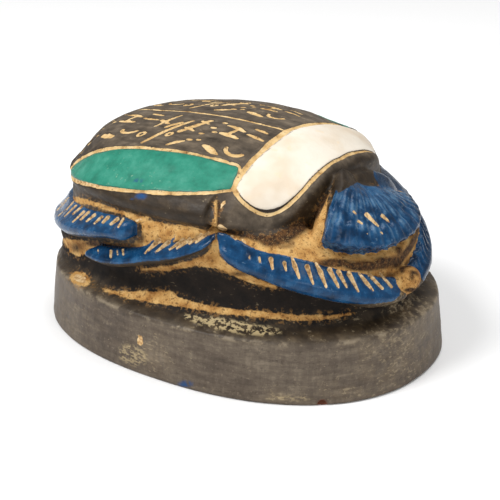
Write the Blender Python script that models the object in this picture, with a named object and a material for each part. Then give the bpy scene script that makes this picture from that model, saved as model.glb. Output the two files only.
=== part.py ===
"""Painted scarab paperweight: a beetle carved in one piece with its oval plinth.

Metres, +X towards the head, +Z up, origin at the middle of the flat underside.
"""

from math import cos, pi, radians, sin, sqrt

import bmesh
import bpy
from mathutils import Vector

# Plinth
LENGTH = 0.120
WIDTH = 0.0886
PLINTH_HEIGHT = 0.0173
WALL_DRAFT = 0.0019
RIM_ROUND = 0.0012
FOOT_CHAMFER = 0.0005
OVAL_POWER = 2.27
HEAD_TAPER = 0.0175

# Beetle, from the plinth's ledge to the top of its back
BEETLE_HEIGHT = 0.0442

# Notches across the legs, and ribs of the fan
NOTCH_PITCH = 0.0036
NOTCH_DEPTH = 0.0008
RIB_DEPTH = 0.0009
RIB_COUNT = 13

# How finely the curved forms are divided
OVAL_STEPS = 52
THORAX_STEPS = 22
HEAD_STEPS = 14

# The one node, and its plain colour
NAME = "scarab"
MATERIAL_COLOUR = (0.085, 0.075, 0.062, 1.0)
MATERIAL_ROUGHNESS = 0.6

# Half way round a quarter circle
QUARTER = sin(radians(45))


def signed_power(value, power):
    """A power that keeps the sign, as a superellipse needs."""
    return abs(value) ** power * (1 if value >= 0 else -1)


def oval(turn, scale, height):
    """A point on the plinth's oval, turned from the head, shrunk by scale."""
    along = scale * signed_power(cos(turn), 2 / OVAL_POWER)
    across = scale * signed_power(sin(turn), 2 / OVAL_POWER) * (1 - HEAD_TAPER * along)
    return Vector((LENGTH / 2 * along, WIDTH / 2 * across, height))


def level(share):
    """Height of a share of the beetle above the plinth."""
    return PLINTH_HEIGHT + share * BEETLE_HEIGHT


def blend(a, b, share):
    return a + (b - a) * share


def keyed(position, rows):
    """Smooth values between rows that each start with their position."""
    rows = sorted(rows)
    if position <= rows[0][0]:
        return rows[0][1:]
    if position >= rows[-1][0]:
        return rows[-1][1:]
    after = next(i for i, row in enumerate(rows) if row[0] > position)
    p1, p2 = rows[after - 1], rows[after]
    p0 = rows[after - 2] if after > 1 else p1
    p3 = rows[after + 1] if after + 1 < len(rows) else p2
    span = p2[0] - p1[0]
    t = (position - p1[0]) / span
    values = []
    for k in range(1, len(p1)):
        slope1 = (p2[k] - p0[k]) / (p2[0] - p0[0]) * span
        slope2 = (p3[k] - p1[k]) / (p3[0] - p1[0]) * span
        values.append(
            p1[k] * (2 * t**3 - 3 * t**2 + 1)
            + slope1 * (t**3 - 2 * t**2 + t)
            + p2[k] * (3 * t**2 - 2 * t**3)
            + slope2 * (t**3 - t**2)
        )
    return values


def close_end(bm, loop, point):
    """Closes one end of a loft with a cone of triangles to a point."""
    top = bm.verts.new(point)
    for i in range(len(loop)):
        bm.faces.new((loop[i], loop[(i + 1) % len(loop)], top))


def middle_of(ring):
    return sum(ring, Vector()) / len(ring)


def loft(name, rings, tip=None):
    """A closed solid through rings of equally many points."""
    bm = bmesh.new()
    loops = [[bm.verts.new(point) for point in ring] for ring in rings]
    count = len(rings[0])
    for lower, upper in zip(loops, loops[1:]):
        for i in range(count):
            j = (i + 1) % count
            bm.faces.new((lower[i], lower[j], upper[j], upper[i]))
    close_end(bm, loops[0], middle_of(rings[0]))
    close_end(bm, loops[-1], tip or middle_of(rings[-1]))
    bmesh.ops.triangulate(bm, faces=bm.faces)
    bmesh.ops.recalc_face_normals(bm, faces=bm.faces)
    mesh = bpy.data.meshes.new(name)
    bm.to_mesh(mesh)
    bm.free()
    return bpy.data.objects.new(name, mesh)


def turns():
    return [2 * pi * i / OVAL_STEPS for i in range(OVAL_STEPS)]


def half_turn(turn):
    """Degrees from the head, the same on both sides."""
    degrees = turn * 180 / pi % 360
    return min(degrees, 360 - degrees)


# Height inside the body that the forms set on it reach down to
BURIED_SHARE = 0.48

# Sections of the body at turns from the head: foot of the ledge and hollow
# (degrees, foot scale, foot height, hollow scale, hollow height)
WAIST = [
    (0, 0.882, 0.034, 0.858, 0.090),
    (35, 0.850, 0.050, 0.815, 0.138),
    (70, 0.835, 0.057, 0.785, 0.184),
    (105, 0.850, 0.046, 0.800, 0.149),
    (125, 0.868, 0.036, 0.825, 0.128),
    (145, 0.930, 0.029, 0.920, 0.100),
    (180, 0.950, 0.029, 0.945, 0.120),
]
# The body's flank above it, up to where the other forms hide it
# (degrees, flank scale, flank height, crown scale, crown height)
FLANK = [
    (0, 0.848, 0.40, 0.70, 0.46),
    (25, 0.850, 0.42, 0.70, 0.49),
    (42, 0.862, 0.472, 0.64, 0.64),
    (60, 0.858, 0.560, 0.66, 0.68),
    (90, 0.868, 0.585, 0.72, 0.67),
    (180, 0.846, 0.540, 0.74, 0.62),
]
# Soft crease where the ledge turns into the hollow: its spread in scale, its height
CREASE = 0.012
CREASE_RISE = 0.001
# How high the hollow's flat bottom is, and where its upper and lower curves bend most
HOLLOW_RISE = 0.08
LOWER_BEND = 0.55
UPPER_BEND = 0.45
# Height of the middle of the body's top, inside the other forms
CORE_SHARE = 0.55


def body_section(turn):
    """Outline of plinth and body at one turn, from the underside upwards."""
    rim = 1 - 2 * WALL_DRAFT / LENGTH
    inner = rim - 2 * RIM_ROUND / LENGTH
    foot, foot_share, hollow, hollow_share = keyed(half_turn(turn), WAIST)
    flank, flank_share, crown, crown_share = keyed(half_turn(turn), FLANK)
    return [
        (1 - 2 * FOOT_CHAMFER / LENGTH, 0.0),
        (1.0, FOOT_CHAMFER),
        (rim, PLINTH_HEIGHT - RIM_ROUND),
        (blend(inner, rim, QUARTER), PLINTH_HEIGHT - (1 - QUARTER) * RIM_ROUND),
        (inner, PLINTH_HEIGHT),
        (foot + CREASE, level(foot_share) - CREASE_RISE / 2),
        (foot - CREASE / 2, level(foot_share) + CREASE_RISE / 2),
        (hollow + CREASE, level(blend(foot_share, hollow_share, LOWER_BEND))),
        (hollow, level(hollow_share)),
        (hollow + CREASE, level(hollow_share + HOLLOW_RISE)),
        (flank, level(blend(hollow_share + HOLLOW_RISE, flank_share, UPPER_BEND))),
        (flank, level(flank_share)),
        (crown, level(crown_share)),
    ]


def body():
    sections = [body_section(turn) for turn in turns()]
    rings = []
    for row in range(len(sections[0])):
        rings.append([oval(turn, *sections[i][row]) for i, turn in enumerate(turns())])
    return loft("body", rings, tip=Vector((0, 0, level(CORE_SHARE))))


# Wing cases at turns from the head: skirt, top of the band, shoulder
# (degrees, skirt height, band top height, shoulder scale, shoulder height)
WING_CASES = [
    (0, 0.660, 0.745, 0.58, 0.885),
    (60, 0.660, 0.745, 0.575, 0.880),
    (75, 0.640, 0.768, 0.580, 0.902),
    (90, 0.627, 0.751, 0.60, 0.925),
    (120, 0.597, 0.706, 0.605, 0.922),
    (145, 0.561, 0.650, 0.615, 0.916),
    (180, 0.557, 0.645, 0.620, 0.914),
]
ROOT_SCALE = 0.78
SKIRT_SCALE = 0.885
BAND_SCALE = 0.900
BAND_TOP_SCALE = 0.852
# Rounding of the skirt's edge and of the band's top: scale outwards, height upwards
SKIRT_EDGE = [(-0.012, -0.008), (0.006, 0.014)]
BAND_EDGE = [(0.020, -0.014), (0.0, 0.008)]
# Slope from the band's top to the shoulder: share of the way in, share of the way up,
# and how much higher it swells at the rear
SLOPE = [(0.5, 0.60, 0.060), (0.8, 0.89, 0.018)]
# How far the rear end draws in, and its slope with it
REAR_TUCK = 0.032
REAR_SLOPE = 0.04
# Where the wing cases end under the shield, and how their back is domed
WING_FRONT = 0.256
BACK_SHIFT = 0.05
BACK_POWER = 2.3
BACK_RINGS = (0.97, 0.82, 0.60, 0.32)


def wing_section(turn):
    """Outline of the wing cases at one turn, from under the skirt to the back."""
    skirt, band, shoulder, shoulder_share = keyed(half_turn(turn), WING_CASES)
    rear = max(0.0, -cos(radians(half_turn(turn))))
    tuck = 1 - REAR_TUCK * rear
    section = [(ROOT_SCALE * tuck, BURIED_SHARE, 0)]
    section += [((SKIRT_SCALE + out) * tuck, skirt + up, 0) for out, up in SKIRT_EDGE]
    section.append((BAND_SCALE * tuck, (skirt + band) / 2, 0))
    section += [(BAND_TOP_SCALE + out, band + up, 0) for out, up in BAND_EDGE]
    for inward, upward, swell in SLOPE:
        scale = blend(BAND_TOP_SCALE, shoulder, inward - REAR_SLOPE * rear)
        section.append((scale, blend(band, shoulder_share, upward + swell * rear), 0))
    for ring in BACK_RINGS:
        height = blend(1, shoulder_share, ring**BACK_POWER)
        section.append((shoulder * ring, height, BACK_SHIFT * (1 - ring**2)))
    return section


def wing_point(turn, scale, share, shift):
    point = oval(turn, scale, level(share))
    point.x += shift * LENGTH / 2
    return point


def cut_off_ahead(form, place):
    """Cuts a form square at one place along the beetle and closes it."""
    bm = bmesh.new()
    bm.from_mesh(form.data)
    cut = bmesh.ops.bisect_plane(
        bm,
        geom=bm.verts[:] + bm.edges[:] + bm.faces[:],
        plane_co=(place, 0, 0),
        plane_no=(1, 0, 0),
        clear_outer=True,
    )
    edges = [item for item in cut["geom_cut"] if isinstance(item, bmesh.types.BMEdge)]
    bmesh.ops.edgeloop_fill(bm, edges=edges)
    bmesh.ops.recalc_face_normals(bm, faces=bm.faces)
    bm.to_mesh(form.data)
    bm.free()


def wing_cases():
    sections = [wing_section(turn) for turn in turns()]
    rings = []
    for row in range(len(sections[0])):
        rings.append([wing_point(turn, *sections[i][row]) for i, turn in enumerate(turns())])
    whole = loft("wing cases", rings, tip=wing_point(0, 0, 1, BACK_SHIFT))
    cut_off_ahead(whole, WING_FRONT * LENGTH / 2)
    return whole


# Thorax shield in cross-sections along the beetle
# (place along, half width, top height, edge height, squareness)
THORAX = [
    (0.240, 0.830, 0.965, 0.680, 1.7),
    (0.250, 0.857, 1.005, 0.665, 1.7),
    (0.300, 0.850, 1.005, 0.655, 1.62),
    (0.350, 0.818, 1.000, 0.642, 1.7),
    (0.413, 0.730, 0.976, 0.611, 1.85),
    (0.452, 0.658, 0.953, 0.592, 2.0),
    (0.490, 0.582, 0.927, 0.606, 2.1),
    (0.522, 0.508, 0.905, 0.655, 2.2),
    (0.545, 0.445, 0.888, 0.715, 2.3),
    (0.562, 0.385, 0.868, 0.762, 2.3),
    (0.574, 0.300, 0.846, 0.790, 2.3),
    (0.579, 0.200, 0.825, 0.795, 2.3),
]
ROOT_WIDTH = 0.52


def arch(row, steps):
    """Arch over the beetle at one place along it, rooted in the body."""
    along, half, top, edge, power = row
    points = []
    for i in range(steps + 1):
        turn = pi * i / steps
        across = half * signed_power(cos(turn), 2 / power)
        share = edge + (top - edge) * sin(turn) ** (2 / power)
        points.append(Vector((along * LENGTH / 2, WIDTH / 2 * across, level(share))))
    for side in (-1, 1):
        across = side * half * ROOT_WIDTH
        root = level(min(edge, BURIED_SHARE))
        points.append(Vector((along * LENGTH / 2, WIDTH / 2 * across, root)))
    return points


def thorax():
    return loft("thorax", [arch(row, THORAX_STEPS) for row in THORAX])


# Head under the shield, in the same kind of cross-sections
HEAD = [
    (0.400, 0.300, 0.74, 0.42, 2.8),
    (0.540, 0.330, 0.79, 0.42, 2.6),
    (0.590, 0.455, 0.805, 0.41, 2.2),
    (0.615, 0.505, 0.795, 0.40, 2.2),
    (0.640, 0.500, 0.735, 0.38, 2.7),
    (0.680, 0.470, 0.62, 0.38, 2.3),
]


def head():
    return loft("head", [arch(row, HEAD_STEPS) for row in HEAD])


# Fan: apex, and its rim's centre, reach, half width and lift at the corners
FAN_APEX = (0.617, 0.765)
FAN_RIM = (0.612, 0.272, 0.515, 0.512)
FAN_LIFT = 0.131
FAN_TURN = radians(74)
# The fan as it was carved: how much fuller on the right, and on the left how much
# flatter, narrower and less lifted
FAN_SWELL = 1.5
FAN_SINK = 0.95
FAN_LEFT_TUCK = 0.08
FAN_LEFT_DROP = 0.35
# Share of the way from apex to rim, and rise above a straight cone
FAN_SECTION = [(0.16, 0.030), (0.45, 0.055), (0.78, 0.035), (1.0, 0.0)]
# Rings under the rim: scale along, scale across, drop
FAN_UNDER = [(0.80, 0.80, 0.0080), (0.985, 0.98, 0.0016)]
# Where its ring closes inside the head: turn, and share of the reach there
FAN_ROOT_TURN = radians(112)
FAN_ROOT_SHARE = 0.5


def fan_point(turn, share, rise, rib):
    """A point on the fan."""
    right = max(0.0, -sin(turn)) ** 2
    left = max(0.0, sin(turn)) ** 2
    rise *= 1 + FAN_SWELL * right - FAN_SINK * left
    centre, reach, half, height = FAN_RIM
    half *= 1 - FAN_LEFT_TUCK * left
    lift = FAN_LIFT * (1 - cos(turn)) * (1 - FAN_LEFT_DROP * left)
    x = blend(FAN_APEX[0], centre + reach * cos(turn), share)
    y = half * sin(turn) * share
    z = blend(FAN_APEX[1], height + lift, share) + rise
    return Vector((LENGTH / 2 * x, WIDTH / 2 * y, level(z) - rib))


def fan_ring(share, rise):
    """One ring of the fan, ribbed in front and plain where it meets the head."""
    count = 2 * RIB_COUNT
    ring = []
    for i in range(count + 1):
        rib = RIB_DEPTH * share if i % 2 else 0
        ring.append(fan_point(blend(-FAN_TURN, FAN_TURN, i / count), share, rise, rib))
    ring.append(fan_point(FAN_ROOT_TURN, share * FAN_ROOT_SHARE, rise, 0))
    ring.append(fan_point(-FAN_ROOT_TURN, share * FAN_ROOT_SHARE, rise, 0))
    return ring


def fan():
    rings = [fan_ring(share, rise) for share, rise in FAN_SECTION]
    rim = rings[-1]
    under = []
    for along, across, drop in FAN_UNDER:
        under.append([Vector((p.x * along, p.y * across, p.z - drop)) for p in rim])
    return loft("fan", under + rings[::-1], tip=fan_point(0, 0, 0, 0))


# Legs: turn from the head, underside height, top height, how far they reach
HIND_LEG = [
    (95.5, 0.458, 0.560, 0.948),
    (98, 0.430, 0.564, 0.958),
    (103, 0.412, 0.556, 0.962),
    (108, 0.384, 0.548, 0.964),
    (124, 0.298, 0.500, 0.974),
    (145, 0.232, 0.452, 0.966),
    (178.8, 0.189, 0.424, 0.962),
]
MIDDLE_LEG = [
    (73.6, 0.548, 0.608, 0.930),
    (76, 0.500, 0.591, 0.942),
    (82, 0.420, 0.533, 0.948),
    (90, 0.333, 0.476, 0.950),
    (97, 0.267, 0.396, 0.950),
    (105, 0.219, 0.344, 0.950),
    (116, 0.210, 0.304, 0.950),
]
FRONT_LEG = [
    (1.5, 0.105, 0.250, 0.935),
    (11, 0.125, 0.300, 0.938),
    (21, 0.152, 0.362, 0.940),
    (30, 0.200, 0.407, 0.940),
    (40, 0.253, 0.465, 0.940),
    (50, 0.308, 0.507, 0.942),
    (58, 0.362, 0.530, 0.943),
    (67, 0.420, 0.602, 0.943),
    (71.5, 0.465, 0.630, 0.940),
]
# Cross-section of a leg: share of the way out from wall to reach, share up
LEG_SECTION = [
    (0.62, 0.00),
    (1.00, 0.25),
    (0.88, 0.47),
    (0.45, 0.74),
    (0.06, 1.00),
    (-0.9, 0.55),
]
# The hind leg's front end is a knob: its length, the length over which the notches
# start to lean, and the fuller section there
KNOB_LENGTH = 0.0062
LEAN_LENGTH = 0.010
KNOB_SECTION = [
    (0.62, 0.00),
    (1.00, 0.25),
    (1.04, 0.50),
    (0.86, 0.80),
    (0.30, 1.00),
    (-0.9, 0.55),
]
# Where in the section the notches are cut, and their two edges and bottom
NOTCHED = (3, 4)
NOTCH_PROFILE = [(0.22, 0.0), (0.50, 1.0), (0.78, 0.0)]
# Scale that the legs stand out from, and the notches' lean in degrees about a height
LEG_WALL = 0.868
FRONT_SLANT = 3
MIDDLE_SLANT = -4.5
HIND_SLANT = -6
SLANT_MIDDLE = 0.5
# Rounded ends: their length, how full they start, and the least height and reach
LEG_ROUND = 0.0035
HIND_ROUND = 0.0015
END_START = 0.12
LEAST_HEIGHT = 0.45
LEAST_REACH = 0.22
# The left front leg lies closer to the body, as it was carved
LEFT_TUCK = 0.012


def leg_places(arc):
    """Shares along a leg of its sections, each with how far it is notched."""
    notches = max(2, round(arc / NOTCH_PITCH))
    places = [(0.0, 0.0)]
    for i in range(notches):
        places += [((i + share) / notches, cut) for share, cut in NOTCH_PROFILE]
    return places + [(1.0, 0.0)]


def end_swell(distance, length):
    """How full a leg is, as a share, at a distance from its rounded end."""
    near = min(1.0, distance / length + END_START)
    return sqrt(1 - (1 - near) ** 2)


def knob_share(distance):
    """How much of the section is the knob's at a distance from the leg's front end."""
    near = max(0.0, min(1.0, 2 * (1 - distance / KNOB_LENGTH)))
    return near * near * (3 - 2 * near)


def leg(name, rows, side, first_round, last_round, slant):
    first, last = rows[0][0], rows[-1][0]
    arc = radians(last - first) * (LENGTH + WIDTH) / 4
    tuck = LEFT_TUCK if side > 0 and name == "front leg" else 0
    rings = []
    for share, cut in leg_places(arc):
        degrees = blend(first, last, share)
        low, high, reach = keyed(degrees, rows)
        swell = min(end_swell(arc * share, first_round), end_swell(arc * (1 - share), last_round))
        middle = (low + high) / 2
        low = blend(middle, low, blend(LEAST_HEIGHT, 1, swell))
        high = blend(middle, high, blend(LEAST_HEIGHT, 1, swell))
        out = (reach - tuck - LEG_WALL) * blend(LEAST_REACH, 1, swell)
        knob, lean = 0.0, slant
        if name == "hind leg":
            knob, lean = knob_share(arc * share), slant * min(1.0, arc * share / LEAN_LENGTH)
        ring = []
        for k, (plain, full) in enumerate(zip(LEG_SECTION, KNOB_SECTION)):
            outward, upward = blend(plain[0], full[0], knob), blend(plain[1], full[1], knob)
            scale = LEG_WALL + out * outward
            shift = 0.0
            if k in NOTCHED:
                scale -= cut * (1 - knob) * 2 * NOTCH_DEPTH / WIDTH
                shift = lean * (upward - SLANT_MIDDLE)
            height = level(blend(low, high, upward))
            ring.append(oval(side * radians(degrees + shift), scale, height))
        rings.append(ring)
    return loft(name, rings)


def legs():
    made = []
    for side in (-1, 1):
        made.append(leg("hind leg", HIND_LEG, side, LEG_ROUND, HIND_ROUND, HIND_SLANT))
        made.append(leg("middle leg", MIDDLE_LEG, side, LEG_ROUND, LEG_ROUND, MIDDLE_SLANT))
        made.append(leg("front leg", FRONT_LEG, side, LEG_ROUND, LEG_ROUND, FRONT_SLANT))
    return made


# Boss where the front legs meet: place along, height, its radii, how finely divided
BOSS = (0.882, 0.205)
BOSS_RADII = (0.0040, 0.0058, 0.0038)
BOSS_STEPS = (12, 6)


def boss():
    bm = bmesh.new()
    bmesh.ops.create_uvsphere(bm, u_segments=BOSS_STEPS[0], v_segments=BOSS_STEPS[1], radius=1.0)
    centre = Vector((BOSS[0] * LENGTH / 2, 0, level(BOSS[1])))
    for vert in bm.verts:
        vert.co = centre + Vector([r * c for r, c in zip(BOSS_RADII, vert.co)])
    mesh = bpy.data.meshes.new("boss")
    bm.to_mesh(mesh)
    bm.free()
    return bpy.data.objects.new("boss", mesh)


def clear_scene():
    for existing in list(bpy.data.objects):
        bpy.data.objects.remove(existing, do_unlink=True)


def paint():
    material = bpy.data.materials.new("black painted body")
    material.use_nodes = True
    shader = material.node_tree.nodes["Principled BSDF"]
    shader.inputs["Base Color"].default_value = MATERIAL_COLOUR
    shader.inputs["Roughness"].default_value = MATERIAL_ROUGHNESS
    shader.inputs["Metallic"].default_value = 0.0
    return material


def main():
    clear_scene()
    parts = bpy.data.collections.new("scarab figurine")
    forms = bpy.data.collections.new("carved forms")
    bpy.context.scene.collection.children.link(parts)
    bpy.context.scene.collection.children.link(forms)
    scarab = body()
    scarab.name = NAME
    parts.objects.link(scarab)
    for form in [wing_cases(), thorax(), head(), fan(), boss()] + legs():
        forms.objects.link(form)
        form.hide_render = True
        form.display_type = "WIRE"
        union = scarab.modifiers.new(form.name, "BOOLEAN")
        union.operation = "UNION"
        union.solver = "EXACT"
        union.object = form
    scarab.data.materials.append(paint())
    scarab.data.shade_smooth()
    scarab.data.set_sharp_from_angle(angle=radians(40))


main()
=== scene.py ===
"""Looks of the painted scarab figurine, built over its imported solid.

One piece stands for the solid: the same forms made finer, carved with the shallow lines,
notches, strokes and chips, and painted by a node material. Sizes are in millimetres until
the mesh is written, with +X towards the head, +Y to the beetle's left and +Z up. Areas and
cuts are signed distances, positive inside, that end in the mesh as attributes.
"""

from functools import reduce
from math import cos, pi, radians, sin

import bpy
import numpy as np
from mathutils import Matrix, Vector
from mathutils.bvhtree import BVHTree


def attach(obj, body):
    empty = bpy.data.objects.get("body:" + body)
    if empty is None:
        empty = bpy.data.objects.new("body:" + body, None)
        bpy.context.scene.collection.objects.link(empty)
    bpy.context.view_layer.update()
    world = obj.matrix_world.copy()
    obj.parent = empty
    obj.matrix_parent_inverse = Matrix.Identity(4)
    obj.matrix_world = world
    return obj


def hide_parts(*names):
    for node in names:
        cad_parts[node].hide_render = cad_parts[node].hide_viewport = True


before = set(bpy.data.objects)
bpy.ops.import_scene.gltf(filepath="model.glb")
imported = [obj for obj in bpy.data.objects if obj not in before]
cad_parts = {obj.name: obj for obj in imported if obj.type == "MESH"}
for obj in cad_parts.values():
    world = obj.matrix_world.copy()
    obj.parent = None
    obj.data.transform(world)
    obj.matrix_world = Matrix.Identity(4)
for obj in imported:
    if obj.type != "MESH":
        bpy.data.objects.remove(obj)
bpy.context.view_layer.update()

MM = 0.001
# Cell of the skin that joins the forms, and how many triangles are kept of it
VOXEL = 0.36
TRIANGLES = 188000

# Plinth and beetle, as in the solid
LENGTH = 120.0
WIDTH = 88.6
PLINTH_HEIGHT = 17.3
WALL_DRAFT = 1.9
RIM_ROUND = 1.2
FOOT_CHAMFER = 0.5
OVAL_POWER = 2.27
HEAD_TAPER = 0.0175
BEETLE_HEIGHT = 44.2
NOTCH_PITCH = 3.6
NOTCH_DEPTH = 0.95
RIB_DEPTH = 0.9
CREST_DEPTH = 0.4
RIB_COUNT = 13
TURN_STEPS = 300
KEY_SAMPLES = 241


# Shared shape language

def signed_power(value, power):
    return np.abs(value) ** power * np.where(value >= 0, 1.0, -1.0)


def oval(turn, scale):
    """Plan position on the oval: turn from the head in radians, shrunk by scale."""
    along = scale * signed_power(np.cos(turn), 2 / OVAL_POWER)
    across = scale * signed_power(np.sin(turn), 2 / OVAL_POWER) * (1 - HEAD_TAPER * along)
    return LENGTH / 2 * along, WIDTH / 2 * across


def oval_of(x, y):
    """The turn in degrees from the head, on either side, and the scale of a plan position."""
    along = x / (LENGTH / 2)
    across = np.abs(y) / (WIDTH / 2) / (1 - HEAD_TAPER * along)
    scale = (np.abs(along) ** OVAL_POWER + across**OVAL_POWER) ** (1 / OVAL_POWER)
    turn = np.arctan2(across ** (OVAL_POWER / 2), signed_power(along, OVAL_POWER / 2))
    return np.degrees(turn), scale


def level(share):
    return PLINTH_HEIGHT + share * BEETLE_HEIGHT


def blend(a, b, share):
    return a + (b - a) * share


def step(value, low, high):
    """0 at low, 1 at high and smooth between them, also where high is the lesser one."""
    t = np.clip((value - low) / (high - low), 0, 1)
    return t * t * (3 - 2 * t)


def hermite(a, slope_a, b, slope_b, t):
    """Smooth curve from a to b; the slopes are per whole span."""
    return (
        a * (2 * t**3 - 3 * t**2 + 1)
        + slope_a * (t**3 - 2 * t**2 + t)
        + b * (3 * t**2 - 2 * t**3)
        + slope_b * (t**3 - t**2)
    )


def keyed_one(position, rows):
    if position <= rows[0][0]:
        return rows[0][1:]
    if position >= rows[-1][0]:
        return rows[-1][1:]
    after = next(i for i, row in enumerate(rows) if row[0] > position)
    p1, p2 = rows[after - 1], rows[after]
    p0 = rows[after - 2] if after > 1 else p1
    p3 = rows[after + 1] if after + 1 < len(rows) else p2
    span = p2[0] - p1[0]
    t = (position - p1[0]) / span
    values = []
    for k in range(1, len(p1)):
        slope1 = (p2[k] - p0[k]) / (p2[0] - p0[0]) * span
        slope2 = (p3[k] - p1[k]) / (p3[0] - p1[0]) * span
        values.append(hermite(p1[k], slope1, p2[k], slope2, t))
    return values


def keyed(positions, rows):
    """Columns of smooth values between rows that each start with their position."""
    samples = np.linspace(rows[0][0], rows[-1][0], KEY_SAMPLES)
    table = np.array([keyed_one(s, rows) for s in samples])
    return [np.interp(positions, samples, table[:, k]) for k in range(table.shape[1])]


def refine(grid, pieces):
    """Subdivides a grid of points along its first axis by smooth curves."""
    steps = np.maximum(np.linalg.norm(np.diff(grid, axis=0), axis=2), 1e-6)
    where = np.concatenate([np.zeros((1, grid.shape[1])), np.cumsum(steps, axis=0)])[..., None]
    slope = np.empty_like(grid)
    slope[1:-1] = (grid[2:] - grid[:-2]) / (where[2:] - where[:-2])
    slope[0] = (grid[1] - grid[0]) / (where[1] - where[0])
    slope[-1] = (grid[-1] - grid[-2]) / (where[-1] - where[-2])
    rows = []
    for i in range(len(grid) - 1):
        span = where[i + 1] - where[i]
        for t in np.arange(pieces) / pieces:
            rows.append(hermite(grid[i], slope[i] * span, grid[i + 1], slope[i + 1] * span, t))
    rows.append(grid[-1])
    return np.array(rows)


def loft(grid, tip=None):
    """Points and faces of a closed solid through rings of equally many points."""
    rings, count = grid.shape[:2]
    tip = grid[-1].mean(axis=0) if tip is None else np.asarray(tip, float)
    points = np.concatenate([grid.reshape(-1, 3), [grid[0].mean(axis=0)], [tip]])
    around = np.arange(count)
    after = (around + 1) % count
    faces = []
    for r in range(rings - 1):
        a, b = r * count, (r + 1) * count
        faces.append(np.stack([a + around, a + after, b + after, b + around], axis=1))
    quads = np.concatenate(faces)
    last = (rings - 1) * count
    ends = [np.stack([after, around, np.full(count, rings * count)], axis=1)]
    ends.append(np.stack([last + around, last + after, np.full(count, rings * count + 1)], axis=1))
    return points, quads.tolist() + np.concatenate(ends).tolist()


def turns():
    return np.arange(TURN_STEPS) * 2 * pi / TURN_STEPS


def half_turns():
    degrees = np.degrees(turns())
    return np.minimum(degrees, 360 - degrees)


# Body by turn from the head: scale and height of the waist's foot and hollow, then of flank and crown
BURIED_SHARE = 0.48
WAIST = [
    (0, 0.882, 0.034, 0.858, 0.090),
    (35, 0.850, 0.050, 0.815, 0.138),
    (70, 0.835, 0.057, 0.785, 0.184),
    (105, 0.850, 0.046, 0.800, 0.149),
    (125, 0.868, 0.036, 0.825, 0.128),
    (145, 0.930, 0.029, 0.920, 0.100),
    (180, 0.950, 0.029, 0.945, 0.120),
]
FLANK = [
    (0, 0.848, 0.40, 0.70, 0.46),
    (25, 0.850, 0.42, 0.70, 0.49),
    (42, 0.862, 0.472, 0.64, 0.64),
    (60, 0.858, 0.560, 0.66, 0.68),
    (90, 0.868, 0.585, 0.72, 0.67),
    (180, 0.846, 0.540, 0.74, 0.62),
]
HOLLOW_RISE = 0.08
CORE_SHARE = 0.55
WAIST_EASE = 0.012
FOOT_EASE = 0.5
RIM_STEPS = 7


def body():
    foot, foot_share, hollow, hollow_share = keyed(half_turns(), WAIST)
    flank, flank_share, crown, crown_share = keyed(half_turns(), FLANK)
    rim = 1 - 2 * WALL_DRAFT / LENGTH
    inner = rim - 2 * RIM_ROUND / LENGTH
    whole = np.ones(TURN_STEPS)

    def ring(scale, height):
        x, y = oval(turns(), scale)
        return np.stack([x, y, height * whole], axis=1)

    lower = [ring(1 - 2 * FOOT_CHAMFER / LENGTH, 0), ring(1.0, FOOT_CHAMFER)]
    for t in np.linspace(0, 1, RIM_STEPS):
        bend = t * pi / 2
        scale = blend(inner, rim, cos(bend))
        lower.append(ring(scale, PLINTH_HEIGHT - RIM_ROUND * (1 - sin(bend))))
    upper = [
        ring(foot + WAIST_EASE, level(foot_share) - FOOT_EASE),
        ring(foot - WAIST_EASE / 2, level(foot_share) + FOOT_EASE),
        ring(hollow + WAIST_EASE, level(blend(foot_share, hollow_share, 0.55))),
        ring(hollow, level(hollow_share)),
        ring(hollow + WAIST_EASE, level(hollow_share + HOLLOW_RISE)),
        ring(flank, level(blend(hollow_share + HOLLOW_RISE, flank_share, 0.45))),
        ring(flank, level(flank_share)),
        ring(crown, level(crown_share)),
    ]
    smooth = refine(np.array([lower[-1]] + upper), 5)
    return loft(np.concatenate([np.array(lower[:-1]), smooth]), (0, 0, level(CORE_SHARE)))


# Wing cases by turn: skirt height, band top height, shoulder scale, shoulder height
WING_CASES = [
    (0, 0.660, 0.745, 0.58, 0.885),
    (60, 0.660, 0.745, 0.575, 0.880),
    (75, 0.640, 0.768, 0.580, 0.902),
    (90, 0.627, 0.751, 0.60, 0.925),
    (120, 0.597, 0.706, 0.605, 0.922),
    (145, 0.561, 0.650, 0.615, 0.916),
    (180, 0.557, 0.645, 0.620, 0.914),
]
SKIRT_SCALE = 0.885
BAND_SCALE = 0.900
BAND_TOP_SCALE = 0.852
WING_FRONT = 0.256
REAR_TUCK = 0.032
REAR_SLOPE = 0.04
SLOPE = [(0.5, 0.60, 0.060), (0.8, 0.89, 0.018)]
BACK_SHIFT = 0.05
BACK_POWER = 2.3
BACK_RINGS = (0.97, 0.82, 0.60, 0.32, 0.12)


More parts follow.
